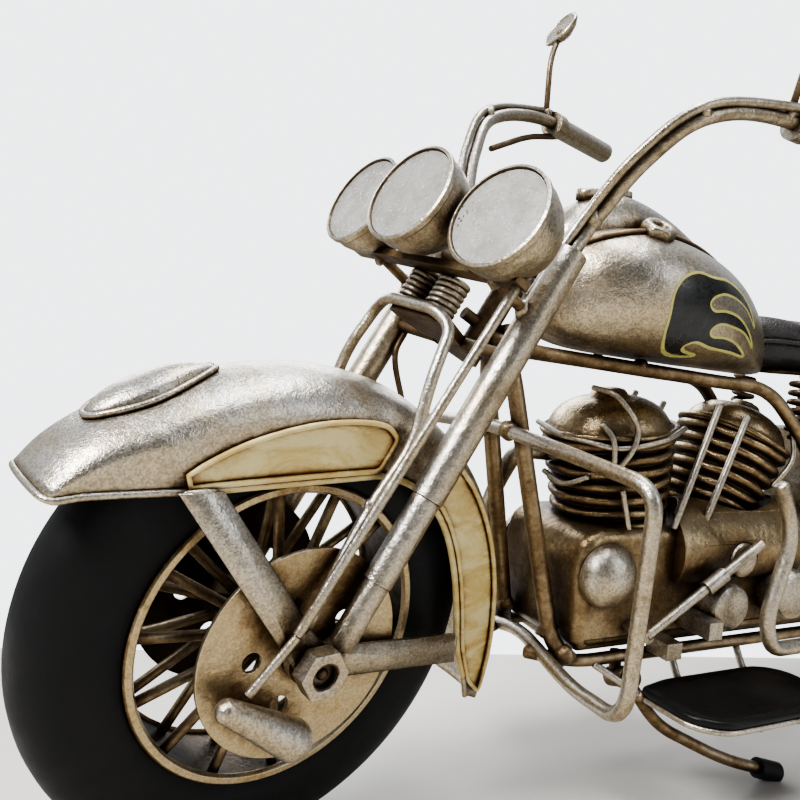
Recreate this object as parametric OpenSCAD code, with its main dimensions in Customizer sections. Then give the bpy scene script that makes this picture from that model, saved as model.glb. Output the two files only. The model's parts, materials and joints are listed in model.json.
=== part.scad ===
// Sheet-iron and wire model of a cruiser motorcycle, standing on its kickstand.
// Upright frame before the lean: X forward, Y to the rider's left, Z up, front axle over x = 0.

/* [Stance] */
// lean to the left on the kickstand, degrees
lean = 8; // [0:0.5:14]
// steering angle to the left at rest, degrees
steer_rest = 14; // [0:1:25]
// angle of the steering axis back from vertical, degrees
rake = 30; // [24:1:36]
// distance of the front axle ahead of the fork legs' line
axle_lead = 4.8; // [2:0.2:8]
// distance of the fork legs ahead of the steering axis
leg_gap = 8.2; // [5:0.2:10]
// distance between the axles with the steering straight
wheelbase = 276; // [240:1:310]
// distance from the front axle back to the middle of the model
middle_x = 144.8; // [120:0.1:170]
// sideways shift that centres the model
middle_y = -16.2; // [-20:0.1:20]

/* [Wheels] */
// tyre outside radius
tyre_r = 55; // [50:0.5:60]
// half the tyre width
tyre_half = 10.5; // [8:0.5:13]
// radius of the rim's outer edge
rim_r = 35.4; // [30:0.2:40]
// half the rim width
rim_half = 10.2; // [8:0.2:12]
// number of spokes in each of the two rows
spoke_count = 14; // [6:1:20]
// brake disc radius
disc_r = 24; // [18:0.5:28]
// distance of the disc's outer face from the wheel's middle
disc_y = 18.2; // [16:0.1:20]

/* [Fork] */
// half the distance between the fork legs
leg_y = 22; // [20:0.5:26]
// tilt of the lamps, degrees upward
lamp_tilt = 28; // [0:1:40]
// radius of the lamp rims
lamp_r = 12.4; // [10:0.1:14]

/* [Fender] */
// half the fender width
fender_w = 14.5; // [13:0.5:17]
// sheet thickness of the fenders
sheet = 0.8; // [0.5:0.1:1.5]

/* [Engine] */
// outside radius of the barrels
barrel_r = 18.4; // [15:0.2:20]
// height of a finned barrel
barrel_h = 25.6; // [18:0.2:28]
// number of fins on a barrel
fins = 7; // [4:1:10]

/* [Hidden] */
$fn = 48;
fork_offset = axle_lead + leg_gap;
tyre_section = [
    for (i = [-8 : 8])
        let (t = i * 11.25)
        [
            rim_r + 2.6 + (tyre_r - rim_r - 2.6) * pow(abs(cos(t)), 0.72),
            tyre_half * sign(i) * pow(abs(sin(t)), 0.8)
        ]
];
// How far a tyre reaches below its axle when the axle's slope has the sine n.
function reach(n) = max([for (p = tyre_section) p[0] * sqrt(1 - n * n) + abs(p[1] * n)]);
lift = reach(sin(lean)) - tyre_r * cos(lean);
front_low = reach(cos(steer_rest) * sin(lean) + sin(rake) * sin(steer_rest) * cos(lean));
front_z = (front_low - lift + fork_offset * sin(steer_rest) * sin(lean)) / cos(lean)
    + fork_offset * sin(rake) * (1 - cos(steer_rest));
steel = [0.72, 0.69, 0.62];
bronze = [0.5, 0.42, 0.3];
dark = [0.2, 0.17, 0.14];
rust = [0.45, 0.32, 0.2];
cream = [0.9, 0.84, 0.6];
rubber = [0.06, 0.06, 0.06];

// ---- frames of reference ----

// Turns the upright model into its resting lean and centres it.
module stood() {
    translate([middle_x, middle_y, lift])
        rotate([-lean, 0, 0])
            children();
}

// The front assembly: drawn straight ahead about the front axle, then steered.
module steered() {
    foot = [-fork_offset * cos(rake), 0, front_z - fork_offset * sin(rake)];
    stood()
        translate(foot)
            rotate(a = steer_rest, v = [-sin(rake), 0, cos(rake)])
                translate([fork_offset * cos(rake), 0, fork_offset * sin(rake)])
                    children();
}

module at_rear_wheel() {
    stood()
        translate([-wheelbase, 0, tyre_r])
            children();
}

// Draws its children on both sides.
module both() {
    for (m = [0, 1])
        mirror([0, m, 0])
            children();
}

// Point at u ahead of the fork legs, y to the left and s up along them, from the front axle.
function fork_pt(u, y, s) = [
    (u - axle_lead) * cos(rake) - s * sin(rake),
    y,
    (u - axle_lead) * sin(rake) + s * cos(rake)
];

// Stands its children along the fork at u, y, s.
module on_axis(u, y, s) {
    translate(fork_pt(u, y, s))
        rotate([0, -rake, 0])
            children();
}

// ---- bent rods ----

function unit(v) = v / norm(v);

// Rounds the corners of a path with n steps, starting r before each corner.
function bend(p, r, n = 4) = [
    p[0],
    for (i = [1 : len(p) - 2])
        let (
            a = p[i - 1] - p[i],
            b = p[i + 1] - p[i],
            k = min(r, norm(a) * 0.48, norm(b) * 0.48),
            s = p[i] + unit(a) * k,
            e = p[i] + unit(b) * k
        )
        for (j = [0 : n])
            let (t = j / n)
            s * (1 - t) * (1 - t) + p[i] * 2 * t * (1 - t) + e * t * t,
    p[len(p) - 1]
];

// A smooth curve through the points, n steps between each two.
function curve(p, n = 4) = [
    for (i = [0 : len(p) - 2])
        let (
            a = p[max(i - 1, 0)],
            b = p[i],
            c = p[i + 1],
            d = p[min(i + 2, len(p) - 1)]
        )
        for (j = [0 : n - 1])
            let (t = j / n)
            (b * 2 + (c - a) * t + (a * 2 - b * 5 + c * 4 - d) * t * t
                + (b * 3 - a - c * 3 + d) * t * t * t) / 2,
    p[len(p) - 1]
];

function heading(p, i) = unit(
    (i < len(p) - 1 ? unit(p[i + 1] - p[i]) : [0, 0, 0])
    + (i > 0 ? unit(p[i] - p[i - 1]) : [0, 0, 0])
);

function across(t) = unit(cross(t, abs(t[2]) < 0.8 ? [0, 0, 1] : [0, 1, 0]));

// One sideways direction per point, turned as little as possible along the path.
function sides(p) = [
    for (i = 0, s = across(heading(p, 0)); i < len(p);
            i = i + 1, s = i < len(p) ? unit(s - heading(p, i) * (s * heading(p, i))) : s)
        s
];

// Triangles between rings of n points each, m rings, with flat ends.
function skin(m, n) = concat(
    [for (i = [0 : m - 2], j = [0 : n - 1]) [i * n + j, (i + 1) * n + (j + 1) % n, i * n + (j + 1) % n]],
    [for (i = [0 : m - 2], j = [0 : n - 1]) [i * n + j, (i + 1) * n + j, (i + 1) * n + (j + 1) % n]],
    [[for (j = [0 : n - 1]) j]],
    [[for (j = [n - 1 : -1 : 0]) (m - 1) * n + j]]
);

// A round rod of diameter d along the path p, drawn with n flats.
module rod(p, d, n = 8) {
    v = sides(p);
    pts = [
        for (i = [0 : len(p) - 1])
            let (t = heading(p, i), w = cross(t, v[i]))
            for (j = [0 : n - 1])
                p[i] + (v[i] * cos(360 * j / n) + w * sin(360 * j / n)) * d / 2
    ];
    polyhedron(pts, skin(len(p), n), convexity = 8);
}

// A round rod of diameter d round the closed loop p, lying in a plane with the normal up.
module ring_rod(p, d, up, n = 6) {
    m = len(p);
    pts = [
        for (i = [0 : m - 1])
            let (w = unit(cross(p[(i + 1) % m] - p[(i + m - 1) % m], up)))
            for (j = [0 : n - 1])
                p[i] + (up * cos(360 * j / n) + w * sin(360 * j / n)) * d / 2
    ];
    polyhedron(pts, [
        for (i = [0 : m - 1], j = [0 : n - 1])
            let (a = i * n, b = ((i + 1) % m) * n, k = (j + 1) % n)
            each [[a + j, b + j, b + k], [a + j, b + k, a + k]]
    ], convexity = 8);
}

// A straight round bar from a to b, d0 wide at a and d1 at b.
module bar(a, b, d0, d1 = -1) {
    v = b - a;
    translate(a)
        rotate([0, acos(v[2] / norm(v)), atan2(v[1], v[0])])
            cylinder(h = norm(v), d1 = d0, d2 = d1 < 0 ? d0 : d1);
}

// A closed body through loops of points.
module loft(loops) {
    n = len(loops[0]);
    polyhedron([for (l = loops) each l], skin(len(loops), n), convexity = 6);
}

// A sheet between two grids of points, a outside and b inside.
module sheet_between(a, b) {
    m = len(a);
    n = len(a[0]);
    o = m * n;
    pts = concat([for (r = a) each r], [for (r = b) each r]);
    faces = [
        for (i = [0 : m - 2], j = [0 : n - 2])
            each [
                [i * n + j, i * n + j + 1, (i + 1) * n + j + 1],
                [i * n + j, (i + 1) * n + j + 1, (i + 1) * n + j],
                [o + i * n + j, o + (i + 1) * n + j + 1, o + i * n + j + 1],
                [o + i * n + j, o + (i + 1) * n + j, o + (i + 1) * n + j + 1]
            ],
        for (i = [0 : m - 2])
            each [
                [i * n, (i + 1) * n, o + (i + 1) * n],
                [i * n, o + (i + 1) * n, o + i * n],
                [i * n + n - 1, o + (i + 1) * n + n - 1, (i + 1) * n + n - 1],
                [i * n + n - 1, o + i * n + n - 1, o + (i + 1) * n + n - 1]
            ],
        for (j = [0 : n - 2])
            each [
                [j, o + j, o + j + 1],
                [j, o + j + 1, j + 1],
                [(m - 1) * n + j, o + (m - 1) * n + j + 1, o + (m - 1) * n + j],
                [(m - 1) * n + j, (m - 1) * n + j + 1, o + (m - 1) * n + j + 1]
            ]
    ];
    polyhedron(pts, faces, convexity = 8);
}

// A coil spring of outside diameter d and length h, standing on the origin.
module coil(d, h, wire, turns) {
    steps = turns * 8;
    rod([
        for (i = [0 : steps])
            [(d - wire) / 2 * cos(i * 45), (d - wire) / 2 * sin(i * 45), wire / 2 + (h - wire) * i / steps]
    ], wire, 5);
}

// A rounded body of revolution between two balls.
module egg(a, ra, b, rb) {
    v = b - a;
    l = norm(v);
    translate(a)
        rotate([0, acos(v[2] / l), atan2(v[1], v[0])])
            rotate_extrude()
                polygon(concat(
                    [for (i = [0 : 6]) [ra * sin(i * 15), -ra * cos(i * 15)]],
                    [for (i = [0 : 6]) [rb * cos(i * 15), l + rb * sin(i * 15)]]
                ));
}

// ---- wheels, drawn about their axle ----

module wheel_tyre() {
    rotate([90, 0, 0])
        rotate_extrude($fn = 120)
            polygon(concat(
                [[rim_r + 0.1, -tyre_half * 0.86]],
                tyre_section,
                [[rim_r + 0.1, tyre_half * 0.86]]
            ));
}

module wheel_rim() {
    rotate([90, 0, 0])
        rotate_extrude($fn = 120)
            polygon([
                [rim_r - 2.4, -rim_half + 1],
                [rim_r - 1.8, -rim_half],
                [rim_r - 0.4, -rim_half],
                [rim_r + 0.1, -rim_half + 0.6],
                [rim_r + 0.1, rim_half - 0.6],
                [rim_r - 0.4, rim_half],
                [rim_r - 1.8, rim_half],
                [rim_r - 2.4, rim_half - 1],
                [rim_r - 1.4, rim_half - 2],
                [rim_r - 1.4, -rim_half + 2]
            ]);
}

module wheel_spokes() {
    for (k = [0 : spoke_count - 1], s = [-1, 1])
        rotate([0, -8 - 360 / spoke_count * (k + (1 - s) / 4), 0])
            translate([5.4, s * 6.8, 0])
                rotate([0, 90, 0])
                    cylinder(h = rim_r - 1.4 - 5.4, d = 2.4);
}

module wheel_hub() {
    rotate([90, 0, 0])
        difference() {
            union() {
                cylinder(h = 28, r = 5.4, center = true);
                cylinder(h = 2 * disc_y + 1.2, r = 4.6, center = true);
            }
            cylinder(h = 60, r = 3.05, center = true);
        }
}

module wheel_discs() {
    for (s = [-1, 1])
        translate([0, s * (disc_y - 0.5), 0])
            rotate([90, 0, 0])
                difference() {
                    cylinder(h = 1, r = disc_r, center = true, $fn = 96);
                    cylinder(h = 3, r = 4.6, center = true);
                    for (k = [0 : 4])
                        rotate([0, 0, 3 + 72 * k])
                            translate([11.8, 0, 0])
                                cylinder(h = 3, r = 2.2, center = true);
                }
}

module axle_rod(y) {
    rotate([90, 0, 0])
        cylinder(h = 2 * y, r = 3, center = true);
}

// An M6 nut, open right through, with its inner face at y.
module axle_nut(y) {
    translate([0, y, 0])
        rotate([-90, 0, 0])
            difference() {
                cylinder(h = 4.4, d = 10 / cos(30), $fn = 6);
                translate([0, 0, -1])
                    cylinder(h = 6.4, r = 3);
            }
}

// ---- fenders, drawn about their axle; a is the angle up from straight ahead ----

function crown(a) = lookup(a, [
    [36, 66], [42, 66], [50, 64.6], [60, 62.4], [75, 60.4], [93, 59.6],
    [120, 60.2], [150, 61.2], [165, 62.2], [180, 64], [195, 67], [205, 69]
]);
function dome_h(a) = lookup(a, [[36, 2.6], [55, 7.5], [90, 9.4], [118, 8], [140, 5], [205, 5]]);
function edge_r(a) = a < 114
    ? min(37.6 / sin(a), crown(a) - dome_h(a) - 0.6)
    : lookup(a, [[114, 41.2], [130, 43.8], [145, 44.6], [165, 45], [180, 46.6], [193, 50.4], [205, 60]]);
function half_w(a) = fender_w * lookup(a, [[36, 0.8], [56, 1]]);
function skin_r(a, k) = crown(a) - dome_h(a) * (1 - sqrt(max(0, 1 - k * k)));
function polar(a, r, y) = [r * cos(a), y, r * sin(a)];

fender_ys = [-1, -0.97, -0.88, -0.72, -0.5, -0.25, 0, 0.25, 0.5, 0.72, 0.88, 0.97, 1];

function fender_row(a, t) = [
    polar(a, edge_r(a), -half_w(a) + t),
    for (k = fender_ys) polar(a, skin_r(a, k) - t, k * (half_w(a) - t)),
    polar(a, edge_r(a), half_w(a) - t)
];

module fender_shell(a0) {
    stations = [for (i = [0 : 26]) 205 - (205 - a0) * i / 26];
    sheet_between(
        [for (a = stations) fender_row(a, 0)],
        [for (a = stations) fender_row(a, sheet)]
    );
}

// The wire along the fender's edge: one side, across the front lip, the other side.
module edge_bead(a0) {
    side = [for (i = [0 : 20]) 205 - (205 - a0) * i / 20];
    rod(concat(
        [for (a = side) polar(a, edge_r(a), half_w(a) + 0.2)],
        [for (k = [-0.7, 0, 0.7]) polar(a0 - 0.6, skin_r(a0, k) - 0.3, -k * half_w(a0))],
        [for (i = [20 : -1 : 0]) polar(side[i], edge_r(side[i]), -half_w(side[i]) - 0.2)]
    ), 1.5, 6);
}

function front_panel_top(a) = lookup(a, [[50, 49.6], [65, 49.2], [81, 49.2], [97, 50.4], [110, 51.6], [114, 50]]);

// Outline of the forward side panel in X and Z.
function fore_outline(g) = concat(
    [for (a = [56 : 5.8 : 114]) [front_panel_top(a) - g, a]],
    [for (a = [112.5 : -5.5 : 54]) [edge_r(a) + 1.5 + g, a]]
);

// Outline of the rear skirt panel.
function aft_outline(g) = concat(
    [for (a = [134 : 6.9 : 203]) [crown(a) - dome_h(a) - 0.6 - g, a]],
    [for (a = [201 : -6.7 : 134]) [edge_r(a) + 1.6 + g, a]]
);

module side_panel(outline) {
    translate([0, fender_w + 0.5, 0])
        rotate([90, 0, 0])
            linear_extrude(0.5)
                polygon([for (p = outline) [p[0] * cos(p[1]), p[0] * sin(p[1])]]);
}

module panel_wire(outline) {
    ring_rod([for (q = outline) polar(q[1], q[0], fender_w + 1)], 1, [0, 1, 0]);
}

module fender_panels(fore) {
    both() {
        if (fore)
            side_panel(fore_outline(0));
        side_panel(aft_outline(0));
    }
}

module fender_beads(a0, fore) {
    edge_bead(a0);
    both() {
        if (fore)
            panel_wire(fore_outline(-0.2));
        panel_wire(aft_outline(-0.2));
    }
}

// Half width of the dome ornament along its length t, 0 to 1.
function dome_w(t) = 6.2 * pow(sin(180 * pow(t, 1.35)), 0.55);

module dome_ornament() {
    rows = [for (i = [0 : 14]) 0.004 + 0.992 * i / 14];
    function row(t, h) = [
        for (k = [-4 : 4])
            let (a = 74 - 25 * t, y = k / 4 * dome_w(t))
            polar(a, skin_r(a, y / half_w(a)) + 0.02 + h * sqrt(max(0, 1 - k * k / 16)) * sqrt(sin(180 * t)), y)
    ];
    sheet_between([for (t = rows) row(t, 3.4)], [for (t = rows) row(t, -0.2)]);
}

module dome_wire() {
    ts = [0.02, 0.1, 0.22, 0.36, 0.5, 0.64, 0.78, 0.9, 0.97];
    function at(t, s) =
        let (a = 74 - 25 * t, y = s * (dome_w(t) + 0.5))
        polar(a, skin_r(a, y / half_w(a)) + 0.62, y);
    rod(concat([for (t = ts) at(t, 1)], [at(1, 0)], [for (i = [8 : -1 : 0]) at(ts[i], -1)]), 1.3, 6);
}

// ---- wheels ----

module front_tyre() color(rubber) steered() wheel_tyre();
module front_rim() color(steel) steered() wheel_rim();
module front_spokes() color(bronze) steered() wheel_spokes();
module front_hub() color(dark) steered() wheel_hub();
module front_discs() color(steel) steered() wheel_discs();
module rear_tyre() color(rubber) at_rear_wheel() wheel_tyre();
module rear_rim() color(steel) at_rear_wheel() wheel_rim();
module rear_spokes() color(bronze) at_rear_wheel() wheel_spokes();
module rear_hub() color(dark) at_rear_wheel() wheel_hub();
module rear_discs() color(steel) at_rear_wheel() wheel_discs();

module front_axle() color(dark) steered() axle_rod(26.6);
module front_axle_nuts() color(steel) steered() both() axle_nut(24);
module rear_axle() color(dark) at_rear_wheel() axle_rod(26.6);
module rear_axle_nuts() color(steel) at_rear_wheel() both() axle_nut(24);

// ---- steering ----

// A plate from the stem to two lugs at u, with a round bar out to the legs.
module stem_plate(s, u, r) {
    hull() {
        on_axis(-leg_gap, 0, s) cylinder(h = 2.4, r = 3.4, $fn = 32);
        for (m = [-1, 1])
            on_axis(u, 6.8 * m, s) cylinder(h = 2.4, r = r, $fn = 32);
    }
    both()
        bar(fork_pt(0, 4, s + 1.2), fork_pt(0, leg_y - 3.6, s + 1.2), 3.2);
}

module steering_stem() {
    color(dark)
        steered() {
            on_axis(-leg_gap, 0, 79.5) cylinder(h = 22.5, r = 2);
            on_axis(-leg_gap, 0, 101.6) cylinder(h = 3, d = 6.4, $fn = 6);
            stem_plate(77.4, 10.8, 3.2);
            stem_plate(99.6, 0, 1.6);
        }
}

module fork_legs() {
    color(steel)
        steered()
            both()
                difference() {
                    union() {
                        translate([0, 19.4, 0])
                            rotate([-90, 0, 0])
                                cylinder(h = 2.4, r = 5);
                        bar([-1.4, 20.7, 1.6], fork_pt(0, leg_y, 7), 2.3, 4.6);
                        on_axis(0, leg_y, 5.4) cylinder(h = 15.6, r = 3);
                        on_axis(0, leg_y, 20) cylinder(h = 87, r = 2.8);
                    }
                    axle_rod(40);
                }
}

module sleeve(s, h, r) {
    on_axis(0, leg_y, s)
        difference() {
            cylinder(h = h, r = r);
            translate([0, 0, -1]) cylinder(h = h + 2, r = 2.8);
        }
}

module fork_sleeves() {
    color(steel)
        steered()
            both() {
                sleeve(21, 21, 3.4);
                sleeve(42, 65, 3.8);
            }
}

module brake_rod() {
    color(steel)
        steered()
            bar([5.4, 24.2, 8.6], fork_pt(15.4, 28.8, 88.8), 2.2);
}

module springer_hoop() {
    left = [[2, 22, 9], [-12.5, 18.8, 32], [-23, 18, 46], [-25.6, 17, 59], [-31.6, 14.4, 70.8], [-30.6, 9, 74]];
    right = [for (i = [5 : -1 : 0]) [left[i][0], -left[i][1], left[i][2]]];
    color(rust)
        steered()
            rod(bend(concat(left, right), 5, 3), 2.8, 8);
}

module fork_springs() {
    color(rust)
        steered()
            both()
                on_axis(11.2, 5.2, 79.8) coil(8, 10.4, 1.5, 5);
}

lamp_foot = fork_pt(16.3, 0, 89.5);

module lamp_bar() {
    color(dark)
        steered() {
            translate(lamp_foot)
                rotate([0, -lamp_tilt, 0])
                    cube([4.4, 62, 1.8], center = true);
            both()
                bar(fork_pt(3.6, 21.5, 89), fork_pt(15, 21.5, 89.6), 2.6);
        }
}

// Puts its children on the three lamps, local +Z out of the lamp.
module each_lamp() {
    for (k = [-1, 0, 1])
        translate(k == 0 ? [-25.4, 0, 98.8] : [-29.8, k * 25.2, 96.3])
            rotate([0, -lamp_tilt, k * 4.5])
                rotate([0, 90, 0])
                    children();
}

module lamp_bowls() {
    r = lamp_r;
    color(steel)
        steered()
            each_lamp()
                rotate_extrude($fn = 72)
                    polygon([
                        [r - 0.8, 0], [r, -0.3], [r, -1.6], [r - 0.5, -2], [r - 0.4, -4.5], [r - 1.2, -8],
                        [r - 3, -11.6], [r - 5.6, -14.4], [4, -16], [0, -16.4],
                        [0, -15.4], [3.8, -15], [r - 6.4, -13.4], [r - 4, -10.9], [r - 2.2, -7.4],
                        [r - 1.4, -4.2], [r - 1.4, -1.6], [r - 1, -1.2]
                    ]);
}

module lamp_faces() {
    color([0.7, 0.71, 0.7])
        steered()
            each_lamp()
                translate([0, 0, -1.5])
                    cylinder(h = 0.8, r = lamp_r - 1.05, $fn = 72);
}

bar_path = [
    fork_pt(0, leg_y, 106), [-62, 22.6, 97.5], [-68.4, 29.2, 112.6], [-79, 35.6, 123.8],
    [-103, 39, 127.4], [-139, 45.6, 123]
];
strand_path = [
    [-49, 19.6, 79.6], [-58.4, 22.4, 97.6], [-65, 29.4, 113.6], [-77, 36.2, 126],
    [-102.6, 40.6, 130.2], [-110.4, 42.2, 129.4]
];

module handlebars() {
    color(steel)
        steered()
            both() {
                rod(curve(bar_path, 4), 3.6, 10);
                rod(curve(strand_path, 4), 2.2, 6);
            }
}

grip_dir = unit(bar_path[5] - bar_path[4]);

module grips() {
    color(steel)
        steered()
            both() {
                bar(bar_path[5] - grip_dir * 29, bar_path[5] + grip_dir * 0.6, 6.4);
                bar(bar_path[5] - grip_dir * 33, bar_path[5] - grip_dir * 29, 7.6);
            }
}

collar_at = bar_path[5] - grip_dir * 31;

// The mirror stalks, the two levers and the control wire on the right.
module control_rods() {
    color(dark)
        steered() {
            both()
                rod(bend([bar_path[4] + [-1, 1, 2.2], [-104, 42, 146], [-110, 45.4, 154]], 5, 3), 1.8, 6);
            mirror([0, 1, 0]) {
                rod(bend([collar_at + [0, 0, -3.4], [-96, 37.6, 121.6], [-79, 34.6, 115.4]], 6, 3), 1.8, 6);
                rod(bend([[-40, 10, 80], [-44, 17, 66], [-41, 16.8, 58], [-45, 16.4, 46], [-47, 14.6, 38]], 5, 3), 1.6, 6);
            }
            rod(bend([collar_at + [0, 3.4, 0], [-116, 50, 122], [-133, 53, 119]], 6, 3), 1.8, 6);
        }
}

module mirrors() {
    color(steel)
        steered()
            both()
                translate([-111.4, 46.2, 155.6])
                    rotate([0, 58, 18])
                        rotate_extrude()
                            polygon([
                                [0, -2.6], [2, -2.4], [4.6, -1.2], [6.2, 0.2], [6.4, 1],
                                [6, 1.4], [5.6, 1], [0, 0.9]
                            ]);
}

module front_fender() color(steel) steered() fender_shell(36);
module front_panels() color(cream) steered() fender_panels(true);
module fender_dome() color(steel) steered() dome_ornament();

module front_beads() {
    color(steel)
        steered() {
            fender_beads(36, true);
            dome_wire();
        }
}

// A flat bar from the axle, outer face at y, to the point p on the fender.
module stay(y, p) {
    difference() {
        hull() {
            translate([0, y, 0]) rotate([90, 0, 0]) cylinder(h = 1.1, r = 3.7, $fn = 32);
            translate(p) rotate([90, 0, 0]) cylinder(h = 1.1, r = 3.4, $fn = 32);
        }
        axle_rod(40);
    }
}

module front_stays() {
    color(steel)
        steered()
            both() {
                stay(24, [25.4, 16.6, 38]);
                stay(22.9, [-43.4, 17.7, -7.8]);
            }
}

module caliper() {
    color(steel)
        steered() {
            egg([19.6, 24.4, -4.8], 2.6, [4.4, 24.6, -15], 4.6);
            bar([14.6, 23, -3.4], [5.4, 24.2, 8.2], 2);
        }
}

// ---- frame ----

module steering_head() {
    color(dark)
        stood()
            translate([0, 0, front_z])
                difference() {
                    union() {
                        on_axis(-leg_gap, 0, 80.1) cylinder(h = 19.2, r = 3.4);
                        for (s = [80.1, 97.3])
                            on_axis(-leg_gap, 0, s) cylinder(h = 2, r = 4.2);
                        on_axis(-leg_gap, 0, 87)
                            rotate([0, 90, 0])
                                cylinder(h = 7, r = 1.6);
                    }
                    on_axis(-leg_gap, 0, 79) cylinder(h = 22, r = 2.06);
                }
}

module top_rails() {
    path = [
        [-56, 3.2, 121], [-65, 7.6, 118.4], [-98, 9, 115.5], [-125, 11, 113], [-141, 13.2, 112],
        [-154.6, 15, 98], [-166, 20.4, 74], [-170, 20.4, 43]
    ];
    color(rust)
        stood()
            both()
                rod(bend(path, 8, 3), 3.8, 8);
}

module down_tubes() {
    color(rust)
        stood()
            both()
                rod(bend([[-60.2, 2.6, 123.6], [-59.6, 4.6, 117.6], [-61, 6.4, 110.4], [-75.2, 11, 46], [-77.4, 14.4, 41]], 6, 3), 4.4, 10);
}

module base_rails() {
    color(rust)
        stood()
            both()
                rod(bend([[-70, 9, 41], [-80, 16, 40], [-186, 16, 40], [-198, 18, 41]], 8, 3), 3.4, 10);
}

module guard_rods() {
    half = [[-73.4, 0, 43.6], [-72, 25.6, 38.6], [-68, 50, 41.4], [-66.4, 54.6, 94], [-65, 40, 95.4], [-60.4, 8, 98.4], [-60.2, 0, 98.6]];
    turned = concat(bend(half, 9, 4), [[-60.2, 0, 98.6]]);
    m = len(turned) - 1;
    other = [for (i = [m - 2 : -1 : 1]) [turned[i][0], -turned[i][1], turned[i][2]]];
    color(steel)
        stood() {
            ring_rod(concat([for (i = [0 : m - 1]) turned[i]], other), 3.6, [1, 0, 0], 8);
            rod(bend([
                [-125, 35, 89], [-131.4, 35, 76], [-125, 35, 54], [-128, 35, 45.6], [-168, 33, 44.6], [-182, 18, 40.4]
            ], 6, 3), 4, 8);
        }
}

module crankcase() {
    side = [
        [-78.4, 45], [-77, 66], [-79, 72.4], [-84, 74.6], [-150, 74.6], [-186, 72],
        [-191, 66], [-191, 48], [-187, 42.6], [-80.4, 42.6]
    ];
    color(bronze)
        stood()
            rotate([90, 0, 0])
                difference() {
                    linear_extrude(36, center = true)
                        polygon(side);
                    linear_extrude(34, center = true)
                        offset(delta = -1)
                            polygon(side);
                }
}

module case_roof() {
    color(bronze)
        stood()
            difference() {
                both()
                    difference() {
                        translate([-108, 9, 67.2])
                            rotate([0, -90, 0])
                                cylinder(h = 44, r = 13.2);
                        translate([-200, -18, 40]) cube([150, 36, 34.6]);
                        translate([-200, -40, 70]) cube([150, 41, 20]);
                        translate([-200, 0, 40]) cube([150, 40, 20]);
                        translate([-129, 0, 65.6])
                            rotate([-90, 0, 0])
                                cylinder(h = 40, r = 5.1);
                    }
                each_barrel()
                    translate([0, 0, -6]) cylinder(h = 20, r = barrel_r + 0.1);
            }
}

module round_cap(x, z, r, y) {
    translate([x, 18, z])
        rotate([-90, 0, 0])
            rotate_extrude()
                polygon([[0, 0], [r, 0], [r, y - 19.6], [r - 0.5, y - 18.5], [r - 1.6, y - 18], [0, y - 17.6]]);
}

module case_fittings() {
    color(steel)
        stood() {
            both() {
                translate([-86, 18, 63])
                    rotate([-90, 0, 0])
                        rotate_extrude()
                            polygon([[0, 0], for (i = [0 : 8]) [8.4 * cos(i * 11.25), 6.4 * sin(i * 11.25)]]);
                round_cap(-122.6, 54, 6.4, 26.4);
                round_cap(-146.6, 55.4, 7, 26);
                round_cap(-129, 65.6, 5, 23);
                bar([-94.6, 25.4, 48.8], [-131.4, 25.4, 71], 2.6);
                bar([-113, 25.4, 59.9], [-119, 25.4, 63.5], 4);
                bar([-94.6, 18, 48.8], [-94.6, 26.4, 48.8], 3.2);
                translate([-104, 22, 44]) cube([5, 8, 4.4], center = true);
                translate([-113.6, 24, 50]) cube([4.6, 11.8, 4.6], center = true);
            }
        }
}

// Puts its children on the front and rear barrel seats, leaning apart.
module each_barrel() {
    translate([-99.6, 0, 72.6]) rotate([0, 6, 0]) children();
    translate([-132.6, 0, 72.4]) rotate([0, -24, 0]) scale([0.88, 0.9, 1]) children();
}

// The fins grow from the foot of a barrel to its top.
function fin_r(k) = barrel_r - 2.6 + 2.6 * k / (fins - 1);

module barrels() {
    h = barrel_h;
    p = h / fins;
    color(bronze)
        stood()
            difference() {
                each_barrel()
                    rotate_extrude($fn = 72)
                        polygon(concat(
                            [[fin_r(0) - 4, 0], [fin_r(0) - 2.4, 0]],
                            [
                                for (k = [0 : fins - 1], r = [fin_r(k)])
                                    each [
                                        [r - 2.2, p * (k + 0.08)], [r - 0.5, p * (k + 0.2)], [r, p * (k + 0.42)],
                                        [r, p * (k + 0.58)], [r - 0.5, p * (k + 0.8)], [r - 2.2, p * (k + 0.92)]
                                    ]
                            ],
                            [[barrel_r - 2.4, h], [barrel_r - 5, h]]
                        ));
                translate([-200, -30, 60]) cube([150, 60, 14.6]);
                translate([-118.4, -30, 60]) cube([0.6, 60, 60]);
            }
}

module barrel_heads() {
    r = barrel_r - 1.2;
    h = barrel_h;
    color(bronze)
        stood()
            difference() {
                each_barrel()
                    rotate_extrude($fn = 72)
                        polygon([
                            [0, h], [r + 0.6, h], [r + 0.8, h + 0.8], [r + 0.3, h + 1.5], [r - 0.6, h + 2],
                            [r - 1.4, h + 4], [r - 3.6, h + 6.8], [r - 7, h + 8.8], [6, h + 9.8], [4.4, h + 11.6],
                            [0, h + 12], [0, h + 10.8], [3.8, h + 10.4], [5, h + 8.8], [r - 7.4, h + 7.8],
                            [r - 4.6, h + 6], [r - 2.4, h + 3.6], [0, h + 1.2]
                        ]);
                translate([-118.4, -30, 60]) cube([0.6, 60, 60]);
            }
}

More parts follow.
